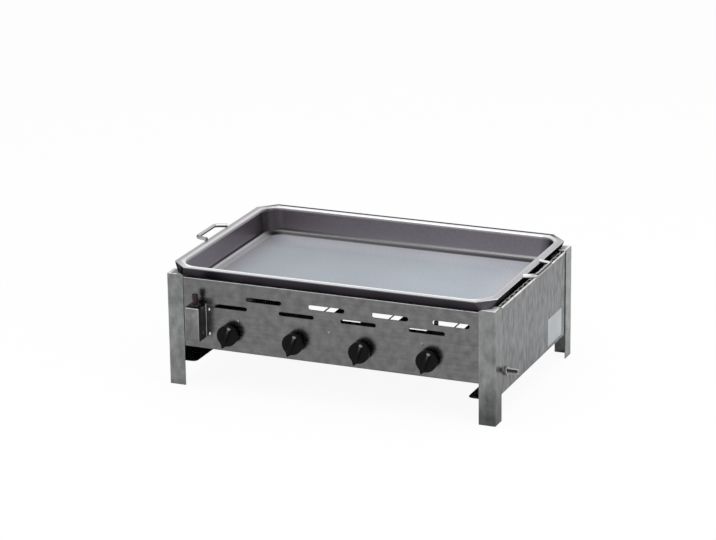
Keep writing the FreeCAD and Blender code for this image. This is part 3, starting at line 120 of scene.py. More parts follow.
def bend_highlight(path, lift):
    """Tints along a path: one on the straight, and more by lift where it turns,
    as a painted highlight along the bends.
    """
    ahead = np.diff(path, axis=0)
    ahead /= np.linalg.norm(ahead, axis=1)[:, None]
    cosine = (ahead[1:] * ahead[:-1]).sum(axis=1)
    turning = np.concatenate([[False], cosine < STRAIGHT, [False]])
    return (1 + lift * turning)[:, None, None]


def made(name, patches, body, node, material, outward=None, thick=0.0, broken=0.0, crease=32):
    """One piece from patches in mm, joined where they meet, with its faces outward, in a CAD node's place.
    thick makes a sheet of an open surface, inwards; broken is the width of its rounded edges."""
    places, faces, tints = zip(*patches)
    starts = np.cumsum([0] + [len(part) for part in places[:-1]])
    faces = np.concatenate([part + start for part, start in zip(faces, starts)])
    mesh = bpy.data.meshes.new(name)
    mesh.from_pydata((np.concatenate(places) * MM).tolist(), [], faces.tolist())
    layer = mesh.attributes.new("tint", "FLOAT_VECTOR", "POINT")
    layer.data.foreach_set("vector", np.concatenate(tints).ravel())
    work = bmesh.new()
    work.from_mesh(mesh)
    bmesh.ops.remove_doubles(work, verts=work.verts, dist=JOIN)
    bmesh.ops.recalc_face_normals(work, faces=work.faces)
    work.to_mesh(mesh)
    work.free()
    if outward is not None:
        area = np.zeros(len(mesh.polygons))
        facing = np.zeros(len(mesh.polygons) * 3)
        mesh.polygons.foreach_get("area", area)
        mesh.polygons.foreach_get("normal", facing)
        if (facing.reshape(-1, 3) @ np.array(outward)) @ area < 0:
            mesh.flip_normals()
    mesh.polygons.foreach_set("use_smooth", np.ones(len(mesh.polygons), bool))
    mesh.set_sharp_from_angle(angle=np.radians(crease))
    mesh.materials.append(material)
    piece = bpy.data.objects.new(name, mesh)
    bpy.context.scene.collection.objects.link(piece)
    if thick:
        sheet = piece.modifiers.new("sheet", "SOLIDIFY")
        sheet.thickness = thick * MM
        sheet.offset = -1.0
        sheet.use_even_offset = True
    if broken:
        edges = piece.modifiers.new("edges", "BEVEL")
        edges.width = broken * MM
        edges.segments = 2
        edges.limit_method = "ANGLE"
        edges.angle_limit = np.radians(crease)
    shade = piece.modifiers.new("shade", "WEIGHTED_NORMAL")
    shade.keep_sharp = True
    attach(piece, body)
    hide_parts(node)


def new_material(name):
    """A new material, its tree and its shader."""
    material = bpy.data.materials.new(name)
    material.use_nodes = True
    return material, material.node_tree, material.node_tree.nodes["Principled BSDF"]


def shading(tree, kind, output, inputs, **settings):
    """Output of a new step in a material: each input takes a plain value, or the output of another step."""
    step = tree.nodes.new(f"ShaderNode{kind}")
    for name, value in settings.items():
        setattr(step, name, value)
    for name, value in inputs.items():
        if isinstance(value, bpy.types.NodeSocket):
            tree.links.new(value, step.inputs[name])
        else:
            step.inputs[name].default_value = value
    return step.outputs[output]


def noise(tree, stretch, detail):
    """Noise over the object's own metres, changing as often in a metre as the stretch says for each way."""
    place = shading(tree, "TexCoord", "Object", {})
    drawn = shading(tree, "Mapping", "Vector", {"Vector": place, "Scale": stretch})
    return shading(tree, "TexNoise", "Fac", {"Vector": drawn, "Scale": 1.0, "Detail": detail})


def spread(tree, field, low, high, span=NOISE_SPAN):
    """A field's span taken evenly to low and high, and held at them outside the span."""
    ends = {"From Min": span[0], "From Max": span[1], "To Min": low, "To Max": high}
    return shading(tree, "MapRange", "Result", {"Value": field, **ends})


def own_tint(tree, output):
    """The piece's own tint, as a vector or as the mean of its three parts."""
    return shading(tree, "Attribute", output, {}, attribute_name="tint")


def surfaced(tree, shader, tone, tinted, polish, field, bump, depth):
    """Joins up a shader: its tone, times the piece's own tint if that is asked for, its roughness,
    and a bump of a given strength and depth that follows a field."""
    if tinted:
        tint = own_tint(tree, "Vector")
        tone = shading(tree, "VectorMath", "Vector", {0: tone, 1: tint}, operation="MULTIPLY")
    relief = shading(tree, "Bump", "Normal", {"Strength": bump, "Distance": depth, "Height": field})
    tree.links.new(tone, shader.inputs["Base Color"])
    tree.links.new(polish, shader.inputs["Roughness"])
    tree.links.new(relief, shader.inputs["Normal"])


def steel(name, colour, layers, rough, bump=0.12, tinted=False, metal=1.0):
    """Bare metal: its colour times one plus or minus each layer of noise, and times the piece's own tint.
    The first layer also moves the roughness and a fine bump.
    metal is less than one where a scratched surface scatters light."""
    material, tree, shader = new_material(name)
    shader.inputs["Metallic"].default_value = metal
    fields = [noise(tree, stretch, detail) for stretch, detail, strength in layers]
    tone = colour
    for field, (stretch, detail, strength) in zip(fields, layers):
        change = spread(tree, field, 1 - strength, 1 + strength)
        tone = shading(tree, "VectorMath", "Vector", {0: tone, "Scale": change}, operation="SCALE")
    polish = spread(tree, fields[0], rough * (1 - ROUGH_CHANGE), rough * (1 + ROUGH_CHANGE))
    surfaced(tree, shader, tone, tinted, polish, fields[0], bump, GRAIN_DEPTH)
    return material


leg_steel = steel("leg_steel", LEG_COLOUR, [UPRIGHT_GRAIN, MOTTLE], rough=0.30, tinted=True)
satin_steel = steel("satin_steel", SATIN_COLOUR, [UPRIGHT_GRAIN, MOTTLE], rough=0.5, tinted=True,
                    metal=SATIN_METAL)
angle_plan = bent([(LEG_FLANGE - LEG_LIP, 0.0), (0.0, 0.0), (0.0, LEG_FLANGE)], LEG_BEND)
angle_plan = np.concatenate([[(LEG_FLANGE, 0.0)], angle_plan])
leg_heights = np.linspace(0.0, LEG_TOP, LEG_ROWS)
plate_plan = np.array(CORNER_PLATE)
plate_middle = plate_plan.mean(axis=0)
spokes = plate_middle + np.array(PLATE_RINGS)[:, None, None] * (plate_plan - plate_middle)
for across, side in SIDES:
    for corner_y, inward, end in ((FRONT_Y, 1, "front"), (REAR_Y, -1, "rear")):
        leg = f"leg_{end}_{side}"
        leg_x = across * (HALF_WIDTH - angle_plan[:, :1])
        leg_y = corner_y + inward * angle_plan[:, 1:]
        face, flank, foot, lip = LEG_LIGHT_AND_SHADE[leg]
        # Painted light and shade: a highlight on the bends, the face and side each with its own tone, and the
        # foot tone below
        leg_tint = bend_highlight(angle_plan, LEG_BEND_HIGHLIGHT) * np.where(angle_plan[:, :1] > LEG_BEND, face, flank)[..., None]
        leg_tint[0] = lip
        leg_tint = leg_tint * np.interp(leg_heights, FOOT_HEIGHTS, (foot, 1.0))[:, None]
        leg_grid = grid_of(leg_x, leg_y, leg_heights)
        made(f"{leg}_angle", [patch(leg_grid, tint=leg_tint)], "stand", leg, leg_steel,
             outward=(across, -inward, 0), thick=LEG_SHEET, broken=0.4)
        plate_x = across * (HALF_WIDTH - spokes[..., 0])
        plate_y = corner_y + inward * spokes[..., 1]
        # Painted shade under the pan, and on one plate painted light
        plate_tones = np.array(LIT_PLATE_TONES if leg == LIT_PLATE else PLATE_SHADE_TONES)
        plate = patch(grid_of(plate_x, plate_y, LEG_TOP), around=True, tint=plate_tones[:, None, None])
        made(f"{leg}_corner_plate", [plate], "stand", leg, satin_steel, outward=(0, 0, 1),
             thick=LEG_SHEET, broken=0.3)

# Front panel: 1.5 mm stainless sheet, punched with two rows of four air slots, then folded in at the top
# and bottom. It is spot-welded behind the legs' flanges.
PANEL_SHEET = 1.5
PANEL_END_GAP = 0.5
PANEL_HALF = HALF_WIDTH - LEG_SHEET - PANEL_SHEET - PANEL_END_GAP
PANEL_FACE = FRONT_Y + LEG_SHEET
PANEL_LOW = 95.5
PANEL_TOP = 263.0
PANEL_LOW_FOLD = 10.0
PANEL_TOP_FOLD = 8.0
PANEL_BEND = 2.2
# How much brighter the panels' folds are painted, as a highlight
PANEL_BEND_HIGHLIGHT = 2.2
# The lower and the upper row of slots: height above the table, length and width of a slot, and their middles
SLOT_ROWS = [(202.0, 86.0, 9.3, (-244.0, -79.0, 72.0, 237.0)),
             (226.0, 88.0, 10.5, (-159.5, -4.5, 149.0, 294.5))]
SLOT_BAND = 9.0
SLOT_FLAT_STEPS = 14
SLOT_END_STEPS = 12
FRONT_COLOUR = (0.159, 0.156, 0.160)
LEVEL_GRAIN = ((4.0, 200.0, 200.0), 5.0, 0.09)
BLOTCHES = ((50.0, 50.0, 50.0), 3.0, 0.20)


def slot_block(centre, height, long, tall, left, right):
    """Faces from a slot's outline out to the rectangle round it: its straight sides go to the
    rectangle's long edges and its round ends to the short ones."""
    low, high = height - SLOT_BAND, height + SLOT_BAND
    end = tall / 2
    flat = long / 2 - end
    run = np.linspace(-1, 1, SLOT_FLAT_STEPS + 1)[:-1]
    turn = np.linspace(0, np.pi, SLOT_END_STEPS + 1)[:-1]
    slot_x = np.concatenate([flat * run, flat + end * np.sin(turn), -flat * run, -flat - end * np.sin(turn)])
    slot_z = np.concatenate([end + 0 * run, end * np.cos(turn), -end + 0 * run, -end * np.cos(turn)])
    part = (run + 1) / 2
    fall = turn / np.pi
    wide = right - left
    deep = high - low
    edge_x = np.concatenate([left + wide * part, right + 0 * fall, right - wide * part, left + 0 * fall])
    edge_z = np.concatenate([high + 0 * part, high - deep * fall, low + 0 * part, low + deep * fall])
    return patch(grid_of([centre + slot_x, edge_x], PANEL_FACE, [height + slot_z, edge_z]), around=True)


def block_edges(centres):
    """Upright lines halfway between slots, with the panel's ends."""
    centres = np.array(centres)
    return np.concatenate([[-PANEL_HALF], (centres[:-1] + centres[1:]) / 2, [PANEL_HALF]])


def across_blocks(edges):
    """Even places across each block, for all blocks of a row, end to end."""
    part = np.linspace(0, 1, SLOT_FLAT_STEPS + 1)[:-1]
    return np.concatenate([(edges[:-1, None] + np.diff(edges)[:, None] * part).ravel(), edges[-1:]])


front_steel = steel("front_steel", FRONT_COLOUR, [LEVEL_GRAIN, BLOTCHES], rough=0.25, tinted=True)
lower_z, upper_z = (row[0] for row in SLOT_ROWS)
row_edges = [block_edges(row[-1]) for row in SLOT_ROWS]
lower_x, upper_x = (across_blocks(edges) for edges in row_edges)
low_fold = bent([(PANEL_FACE + PANEL_LOW_FOLD, PANEL_LOW), (PANEL_FACE, PANEL_LOW),
                 (PANEL_FACE, lower_z - SLOT_BAND)], PANEL_BEND)
top_fold = bent([(PANEL_FACE, upper_z + SLOT_BAND), (PANEL_FACE, PANEL_TOP),
                 (PANEL_FACE + PANEL_TOP_FOLD, PANEL_TOP)], PANEL_BEND)
between_rows = [[lower_z + SLOT_BAND], [upper_z - SLOT_BAND]]
# The top fold carries a painted highlight along its bends
panel = [
    patch(grid_of(lower_x, low_fold[:, :1], low_fold[:, 1:])),
    patch(grid_of([lower_x, upper_x], PANEL_FACE, between_rows)),
    patch(grid_of(upper_x, top_fold[:, :1], top_fold[:, 1:]), tint=bend_highlight(top_fold, PANEL_BEND_HIGHLIGHT)),
]
for edges, (height, long, tall, middles) in zip(row_edges, SLOT_ROWS):
    for centre, left, right in zip(middles, edges[:-1], edges[1:]):
        panel.append(slot_block(centre, height, long, tall, left, right))
made("front_panel_sheet", panel, "stand", "front_panel", front_steel, outward=(0, -1, 0),
     thick=PANEL_SHEET, broken=0.25)

# Rear panel: the same sheet and folds as the front panel, without slots, and welded to the rear legs.
# The burners' tail pins come through it.
REAR_FACE = REAR_Y - LEG_SHEET
REAR_COLUMNS = 12

rear_plan = bent([(REAR_FACE - PANEL_LOW_FOLD, PANEL_LOW), (REAR_FACE, PANEL_LOW), (REAR_FACE, PANEL_TOP),
                  (REAR_FACE - PANEL_TOP_FOLD, PANEL_TOP)], PANEL_BEND)
rear_x = np.linspace(-PANEL_HALF, PANEL_HALF, REAR_COLUMNS)
# Painted highlight along the rear panel's bends
rear_sheet = patch(grid_of(rear_x, rear_plan[:, :1], rear_plan[:, 1:]), tint=bend_highlight(rear_plan, PANEL_BEND_HIGHLIGHT))
made("rear_panel_sheet", [rear_sheet], "stand", "rear_panel", front_steel, outward=(0, 1, 0),
     thick=PANEL_SHEET, broken=0.25)

# Side panels: 1.5 mm stainless sheet with a wide fold below, its free corners rounded, and a narrow vented
# fold on top. They are spot-welded inside the legs, and their polish is wavy in upright streaks.
# The top fold is a piece of its own here, because its scratched upper side scatters light.
SIDE_FACE = HALF_WIDTH - LEG_SHEET
SIDE_LOW = 60.0
SIDE_TOP = LEG_TOP - LEG_SHEET
SIDE_LOW_FOLD = 65.0
FOLD_CORNER = 12.0
FOLD_CORNER_ROWS = 8
SIDE_LIP = 3.0
# How much brighter the side panels' bends are painted, as a highlight
SIDE_BEND_HIGHLIGHT = 1.2
# Rows across the top fold: how far in from the panel's face, and the tone there, dark with painted shade
# beside the pan and bright along the vents; vents start at one of them
FOLD_ROWS = [(3.0, 0.1), (5.6, 0.1), (6.0, 1.1), (10.6, 1.1), (11.0, 0.1), (12.0, 0.1)]
VENT_ROW = 2
VENT_COUNT = 16
VENT_LONG = 17.0
VENT_PITCH = 28.5
SIDE_COLOUR = (0.151, 0.154, 0.160)
STREAKS = ((105.0, 105.0, 33.0), 2.0, 0.46)

side_steel = steel("side_steel", SIDE_COLOUR, [UPRIGHT_GRAIN, STREAKS], rough=0.26, tinted=True)
fold_in, fold_light_and_shade = np.array(FOLD_ROWS).T
fold_rows = np.stack([SIDE_FACE - fold_in, np.full(len(fold_in), SIDE_TOP)], axis=1)
fold_bend = bent([(SIDE_FACE, SIDE_TOP - SIDE_LIP), (SIDE_FACE, SIDE_TOP), fold_rows[0]], PANEL_BEND)[:-1]
fold_plan = np.concatenate([fold_bend, fold_rows])
# Painted shade over the fold beside the pan, brighter along the vents' strip
fold_shade_tint = np.concatenate([np.ones(len(fold_bend)), fold_light_and_shade])[:, None, None]
wall_plan = bent([(SIDE_FACE - SIDE_LOW_FOLD, SIDE_LOW), (SIDE_FACE, SIDE_LOW),
                  (SIDE_FACE, SIDE_TOP - SIDE_LIP)], PANEL_BEND)
corner_turn = np.linspace(0, np.pi / 2, FOLD_CORNER_ROWS)
corner_x = wall_plan[0, 0] + FOLD_CORNER * (1 - np.cos(corner_turn))
corner_rows = np.stack([corner_x, np.full(FOLD_CORNER_ROWS, SIDE_LOW)], axis=1)
wall_plan = np.concatenate([corner_rows, wall_plan[1:]])
cut_back = np.zeros((len(wall_plan), 1))
cut_back[:FOLD_CORNER_ROWS, 0] = FOLD_CORNER * (1 - np.sin(corner_turn))
vent_order = np.arange(VENT_COUNT) - (VENT_COUNT - 1) / 2
vent_start = (PANEL_FACE + REAR_FACE - VENT_LONG) / 2 + VENT_PITCH * vent_order
vent_ends = np.stack([vent_start, vent_start + VENT_LONG], axis=1).ravel()
side_y = np.concatenate([[PANEL_FACE], vent_ends, [REAR_FACE]])
wall_y = np.clip(side_y, PANEL_FACE + cut_back, REAR_FACE - cut_back)
sheet_left = np.ones((len(fold_plan) - 1, len(side_y) - 1), bool)
sheet_left[len(fold_bend) + VENT_ROW, 1:-1:2] = False
for across, side in SIDES:
    node = f"side_panel_{side}"
    wall_grid = grid_of(across * wall_plan[:, :1], wall_y, wall_plan[:, 1:])
    # Painted highlight along the wall's bends
    wall = patch(wall_grid, tint=bend_highlight(wall_plan, SIDE_BEND_HIGHLIGHT))
    made(f"{node}_sheet", [wall], "stand", node, side_steel, outward=(across, 0, 0),
         thick=PANEL_SHEET)
    fold_grid = grid_of(across * fold_plan[:, :1], side_y, fold_plan[:, 1:])
    fold = patch(fold_grid, keep=sheet_left, tint=fold_shade_tint)
    made(f"{node}_top_fold", [fold], "stand", node, satin_steel, outward=(across, 0, 1),
         thick=PANEL_SHEET, broken=0.25)

# Valve shield: an angle of dull galvanized sheet behind the front panel, held by three screws through it.
# The screws are zinc-plated, with rounded heads and a hexagon socket.
SCREW_X = (-225.0, 0.0, 225.0)
SCREW_Z = 172.0
# Rows of a screw are radius and height above its seat; those of its socket are half a width and height
SCREW_HEAD = [(0.0, -10.0), (2.0, -10.0), (2.0, 0.0), (4.0, 0.0), (4.0, 0.7), (3.7, 1.3), (3.0, 1.75),
              (2.1, 2.0)]
SOCKET = [(1.35, 2.0), (1.35, 0.7), (0.0, 0.5)]
SCREW_STEPS = 48
# Two directions across a turned piece and one along it
TOWARDS_FRONT = np.array([(1, 0, 0), (0, 0, 1), (0, -1, 0)])
TOWARDS_REAR = np.array([(1, 0, 0), (0, 0, 1), (0, 1, 0)])
TOWARDS_LEFT = np.array([(0, 1, 0), (0, 0, 1), (-1, 0, 0)])
TOWARDS_RIGHT = np.array([(0, 1, 0), (0, 0, 1), (1, 0, 0)])
UPWARDS = np.eye(3)
SHIELD_COLOUR = (0.20, 0.20, 0.20)
SCREW_COLOUR = (0.26, 0.26, 0.255)
SPANGLE = ((30.0, 30.0, 30.0), 5.0, 0.12)
CLOUDS = ((9.0, 9.0, 9.0), 3.0, 0.15)
EVEN_GRAIN = ((200.0, 200.0, 200.0), 4.0, 0.08)


def round_angles(count):
    """Even angles round a full turn."""
    return np.linspace(0, 2 * np.pi, count, endpoint=False)


def round_axis(reach, angle, height, centre, axes, tint=1.0):
    """Closed lines round an axis: reach times the cosine and the sine of the angle, at each row's height."""
    local = grid_of(reach * np.cos(angle), reach * np.sin(angle), height)
    return patch(np.array(centre) + local @ axes, around=True, tint=tint)


def turned(profile, centre, axes, count=40):
    """Circles of the profile's radii at its heights."""
    radius, height = np.array(profile, float).T[:, :, None]
    return round_axis(radius, round_angles(count), height, centre, axes)


def hexagon(angle):
    """Reach of a hexagon whose half width is one: one over the cosine of the turn from a flat's middle."""
    return 1 / np.cos(angle % (np.pi / 3) - np.pi / 6)


def socket_screw(centre, axes):
    """A turned screw whose last rows are a hexagon: the head's crown runs into the socket's edge."""
    angle = round_angles(SCREW_STEPS)
    half, height = np.array(SCREW_HEAD + SOCKET, float).T[:, :, None]
    in_socket = np.arange(len(half))[:, None] >= len(SCREW_HEAD)
    return round_axis(half * np.where(in_socket, hexagon(angle), 1.0), angle, height, centre, axes)


def dress(material, *nodes):
    """Gives a material to CAD nodes that stay as they are."""
    for node in nodes:
        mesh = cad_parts[node].data
        mesh.materials.clear()
        mesh.materials.append(material)


shield_steel = steel("shield_steel", SHIELD_COLOUR, [SPANGLE, CLOUDS], rough=0.45)
screw_steel = steel("screw_steel", SCREW_COLOUR, [EVEN_GRAIN], rough=0.25)
dress(shield_steel, "valve_shield")
shield_screws = [socket_screw((x, PANEL_FACE, SCREW_Z), TOWARDS_FRONT) for x in SCREW_X]
made("shield_screw_set", shield_screws, "stand", "shield_screws", screw_steel)

# Manifold and gas inlet: a square steel tube behind the knobs, closed at the left by a plug with a screw
# through the panel. At the right a fitting of plated brass comes out through the panel, held by a locknut.
MANIFOLD_Y = -172.5
MANIFOLD_Z = 109.0
FITTING_START = 374.5
FITTING_HALF = 10.0
# Rows of the square fitting: share of its half width, and how far along it
FITTING_ROWS = [(0.0, 0.0), (0.8, 0.0), (1.0, 1.0), (1.0, 21.0), (0.8, 22.0), (0.0, 22.0)]
THREAD_START = 396.0
THREAD_END = 406.0
NIPPLE_END = 428.0
THREAD_RADIUS = 8.0
NIPPLE_RADIUS = 6.58
PASSAGE_RADIUS = 3.29
PASSAGE_DEEP = 20.0
MOUTH_EDGE = 0.4
THREAD_PITCH = 1.337
THREAD_DEEP = 0.75
THREAD_FACES = 48
ROWS_PER_TURN = 6
LOCKNUT_HALF = 9.5
LOCKNUT_BORE = 8.1
LOCKNUT_TALL = 6.0
# A nut's corners are broken by a cone over its lead: the share of its half width it starts at, and its slope
NUT_STEPS = 72
NUT_LEAD = 1.4
NUT_LEAD_ROWS = 6
NUT_CROWN = 0.97
NUT_SLOPE = 1.8
NUT_BORE_EDGE = 0.5
MANIFOLD_COLOUR = (0.16, 0.16, 0.16)
INLET_COLOUR = (0.46, 0.455, 0.445)
TUBE_GRAIN = ((4.0, 60.0, 60.0), 5.0, 0.10)
# Painted light round the threads, by angle from the rear over the top: a highlight on top, a dark band
# towards the front
THREAD_TURNS = np.radians((0.0, 60.0, 105.0, 125.0, 170.0, 195.0, 250.0, 360.0))
THREAD_PAINTED_LIGHT = (0.8, 1.2, 1.2, 0.10, 0.10, 0.75, 0.75, 0.8)


def threaded(radius, start, end, centre):
    """Screw thread to the right: radius less a depth times a saw of the turn number minus the angle's part
    of a turn. The saw fades over the first and the last turn."""
    rows = int((end - start) / THREAD_PITCH * ROWS_PER_TURN)
    along = np.linspace(start, end, rows)[:, None]
    angle = round_angles(THREAD_FACES)
    saw = np.abs(2 * ((along / THREAD_PITCH - angle / (2 * np.pi)) % 1) - 1)
    fade = np.clip((end - along) / THREAD_PITCH, 0, 1) * np.clip((along - start) / THREAD_PITCH, 0, 1)
    reach = radius - THREAD_DEEP * (1 - fade * saw)
    # Painted highlight on top of the thread and a painted dark band towards the front
    tint = np.interp(angle, THREAD_TURNS, THREAD_PAINTED_LIGHT)[:, None]
    return round_axis(reach, angle, along, centre, TOWARDS_RIGHT, tint)


def nut(half, bore, tall, centre, axes):
    """Hexagon nut: each row's reach is the smaller of the hexagon's and of a cone that breaks the corners."""
    angle = round_angles(NUT_STEPS)
    lead = np.linspace(0.0, NUT_LEAD, NUT_LEAD_ROWS)
    height = np.concatenate([lead, tall - lead[::-1]])[:, None]
    cone = half * NUT_CROWN + NUT_SLOPE * np.minimum(height, tall - height)
    inner = bore + np.array([0.0, NUT_BORE_EDGE])[:, None] + 0 * angle
    reach = np.vstack([inner, np.minimum(half * hexagon(angle), cone), inner[::-1], inner[:1]])
    bore_rows = [tall, tall - NUT_BORE_EDGE, NUT_BORE_EDGE]
    height = np.concatenate([[NUT_BORE_EDGE, 0.0], height[:, 0], bore_rows])[:, None]
    return round_axis(reach, angle, height, centre, axes)


manifold_steel = steel("manifold_steel", MANIFOLD_COLOUR, [TUBE_GRAIN, CLOUDS], rough=0.40)
inlet_brass = steel("inlet_brass", INLET_COLOUR, [EVEN_GRAIN, CLOUDS], rough=0.32, tinted=True)
dress(manifold_steel, "gas_manifold", "manifold_cap")
manifold_screw = socket_screw((-SIDE_FACE, MANIFOLD_Y, MANIFOLD_Z), TOWARDS_LEFT)
made("manifold_screw_turned", [manifold_screw], "stand", "manifold_screw", screw_steel)
inlet_axis = (0.0, MANIFOLD_Y, MANIFOLD_Z)
square = np.array([(-1, -1), (1, -1), (1, 1), (-1, 1)]) * FITTING_HALF
share, along = np.array(FITTING_ROWS).T[:, :, None]
fitting = grid_of(FITTING_START + along, MANIFOLD_Y + share * square[:, 0], MANIFOLD_Z + share * square[:, 1])
thread_root = THREAD_RADIUS - THREAD_DEEP
nipple_root = NIPPLE_RADIUS - THREAD_DEEP
passage_end = NIPPLE_END - PASSAGE_DEEP
start_rows = [(0.0, THREAD_START), (thread_root, THREAD_START)]
shoulder_rows = [(thread_root, THREAD_END), (nipple_root, THREAD_END)]
mouth_rows = [(nipple_root, NIPPLE_END), (PASSAGE_RADIUS + MOUTH_EDGE, NIPPLE_END),
              (PASSAGE_RADIUS, NIPPLE_END - MOUTH_EDGE), (PASSAGE_RADIUS, passage_end), (0.0, passage_end)]
inlet = [patch(fitting, around=True), threaded(THREAD_RADIUS, THREAD_START, THREAD_END, inlet_axis),
         threaded(NIPPLE_RADIUS, THREAD_END, NIPPLE_END, inlet_axis)]
for rows in (start_rows, shoulder_rows, mouth_rows):
    inlet.append(turned(rows, inlet_axis, TOWARDS_RIGHT, THREAD_FACES))
made("gas_inlet_fitting", inlet, "stand", "gas_inlet", inlet_brass)
locknut = nut(LOCKNUT_HALF, LOCKNUT_BORE, LOCKNUT_TALL, (SIDE_FACE, MANIFOLD_Y, MANIFOLD_Z), TOWARDS_RIGHT)
made("gas_inlet_locknut", [locknut], "stand", "inlet_locknut", inlet_brass)

# Valves: cast light-alloy blocks, each screwed to the manifold by its foot, with a brass plug, a keyed steel
# stem and its spring. They are out of sight, so the CAD pieces stay and only get their metals.
VALVE_COUNT = 4
ALLOY_COLOUR = (0.40, 0.40, 0.41)
BRASS_COLOUR = (0.56, 0.42, 0.17)
STEM_COLOUR = (0.50, 0.50, 0.50)
SPRING_COLOUR = (0.35, 0.35, 0.36)
CAST_BUMP = 0.3
TURNED_GRAIN = ((200.0, 30.0, 200.0), 5.0, 0.06)

valve_alloy = steel("valve_alloy", ALLOY_COLOUR, [EVEN_GRAIN, CLOUDS], rough=0.50, bump=CAST_BUMP)
plug_brass = steel("plug_brass", BRASS_COLOUR, [EVEN_GRAIN, CLOUDS], rough=0.30)
stem_steel = steel("stem_steel", STEM_COLOUR, [TURNED_GRAIN], rough=0.25)
spring_steel = steel("spring_steel", SPRING_COLOUR, [EVEN_GRAIN], rough=0.25)
numbers = range(1, VALVE_COUNT + 1)
dress(valve_alloy, *[f"valve_body_{n}" for n in numbers])
dress(plug_brass, "injectors", *[f"valve_plug_{n}" for n in numbers])
dress(stem_steel, *[f"valve_stem_{n}" for n in numbers])
dress(spring_steel, *[f"valve_spring_{n}" for n in numbers])
dress(screw_steel, "valve_screws")

# Burners: steel tubes with flame ports on top, browned by heat, each held by a nut on its tail pin behind the
# rear panel. Each has a thermocouple with a stiff copper lead, and a ceramic spark electrode with its lead.
BURNER_X = (-243.0, -81.0, 81.0, 243.0)
BURNER_Z = 126.0
TAIL_NUT_HALF = 6.5
TAIL_NUT_BORE = 4.2
TAIL_NUT_TALL = 5.0
BURNER_COLOUR = (0.060, 0.057, 0.056)
COPPER_COLOUR = (0.10, 0.075, 0.065)
CERAMIC_COLOUR = (0.62, 0.60, 0.55)
RUBBER_COLOUR = (0.02, 0.02, 0.02)
TUBE_SCALE = ((60.0, 5.0, 60.0), 5.0, 0.15)
LEAD_SCALE = ((80.0, 8.0, 80.0), 5.0, 0.10)
HEAT_MARKS = ((12.0, 12.0, 12.0), 3.0, 0.30)
MOULD_GRAIN = (900.0, 900.0, 900.0)
MOULD_DETAIL = 3.0
MOULD_TONE_CHANGE = 0.3
MOULD_ROUGH_CHANGE = 0.2
MOULD_BUMP = 0.1
MOULD_DEPTH = 0.0001
WHOLE_SPAN = (0.0, 1.0)


def moulded(name, colour, rough, gloss=0.5, tinted=False):
    """Plain non-metal: a fine noise moves tone, roughness and bump a little, and a tint the colour."""
    material, tree, shader = new_material(name)
    shader.inputs["Specular IOR Level"].default_value = gloss
    field = noise(tree, MOULD_GRAIN, MOULD_DETAIL)
    change = spread(tree, field, 1 - MOULD_TONE_CHANGE, 1 + MOULD_TONE_CHANGE, WHOLE_SPAN)
    tone = shading(tree, "VectorMath", "Vector", {0: colour, "Scale": change}, operation="SCALE")
    shift = rough * MOULD_ROUGH_CHANGE
    polish = spread(tree, field, rough - shift, rough + shift, WHOLE_SPAN)
    surfaced(tree, shader, tone, tinted, polish, field, MOULD_BUMP, MOULD_DEPTH)
    return material


burner_steel = steel("burner_steel", BURNER_COLOUR, [TUBE_SCALE, HEAT_MARKS], rough=0.42)
lead_copper = steel("lead_copper", COPPER_COLOUR, [LEAD_SCALE, HEAT_MARKS], rough=0.45)
dress(burner_steel, *[f"burner_{n}" for n in numbers])
dress(lead_copper, *[f"thermocouple_{n}" for n in numbers])
dress(moulded("electrode_ceramic", CERAMIC_COLOUR, rough=0.4), "spark_electrodes")
dress(moulded("lead_rubber", RUBBER_COLOUR, rough=0.5), "ignition_leads")
tail_nuts = [nut(TAIL_NUT_HALF, TAIL_NUT_BORE, TAIL_NUT_TALL, (x, REAR_FACE, BURNER_Z), TOWARDS_REAR)
             for x in BURNER_X]
made("burner_nut_set", tail_nuts, "stand", "burner_nuts", screw_steel)

# Knobs: moulded black plastic, pressed on the valve stems. Each has a round neck, a skirt drawn out to
# a pointer with hollow flanks, and a tapered grip bar in line with the pointer.
# The grip's far end carries a painted highlight.
KNOB_Z = 140.0
KNOB_BACK = -245.5
KNOB_RADIUS = 24.4
POINTER = 33.0
POINTER_SPREAD = 0.2
POINTER_TURN = np.radians(22.0)
KNOB_STEPS = 144
# Neck and face rows are radius and depth from the back; skirt rows are inset from the outline, and depth
NECK_ROWS = [(0.0, 0.0), (8.0, 0.0), (18.2, 0.0), (18.8, 0.3), (19.0, 1.0), (19.0, 6.0)]
SKIRT_ROWS = [(1.2, 6.0), (0.4, 6.3), (0.0, 7.2), (0.0, 18.0), (0.27, 19.0), (0.6, 19.4), (1.0, 19.73),
              (2.0, 20.0)]
FACE_ROWS = [(18.0, 20.0), (0.0, 20.0)]
# Grip rows are half its length, half its width, depth from the back, and the painted highlight's share there
GRIP_ROWS = [(0.0, 0.0, 18.0, 0.0), (20.4, 6.5, 18.0, 0.0), (20.3, 6.4, 20.0, 0.1), (19.7, 5.7, 22.4, 0.6),
             (18.9, 4.8, 24.0, 1.0), (17.9, 3.9, 24.8, 1.0), (16.4, 2.6, 25.0, 0.3), (0.0, 0.0, 25.0, 0.0)]
GRIP_SQUARE = 5.0
GRIP_FAR = 1.18
# The painted highlight on the far end starts at this cosine from the grip's far tip
HIGHLIGHT_FROM = 0.75
HIGHLIGHT_LIFT = 55.0
KNOB_COLOUR = (0.0041, 0.0039, 0.0044)
KNOB_GLOSS = 0.08


def pointed(angle):
    """Outline of the skirt: its radius, and at the tip as much more as the pointer stands out; that falls off
    on both sides as one over the square of one plus the squared turn from the tip, counted in spreads."""
    from_tip = (angle + np.pi) % (2 * np.pi) - np.pi
    return KNOB_RADIUS + (POINTER - KNOB_RADIUS) / (1 + (from_tip / POINTER_SPREAD) ** 2) ** 2


def squarish(angle, power):
    """Outline between a circle and a square: cosine and sine, each to the power two over a given number."""
    cosine, sine = np.cos(angle), np.sin(angle)
    return np.sign(cosine) * np.abs(cosine) ** (2 / power), np.sign(sine) * np.abs(sine) ** (2 / power)


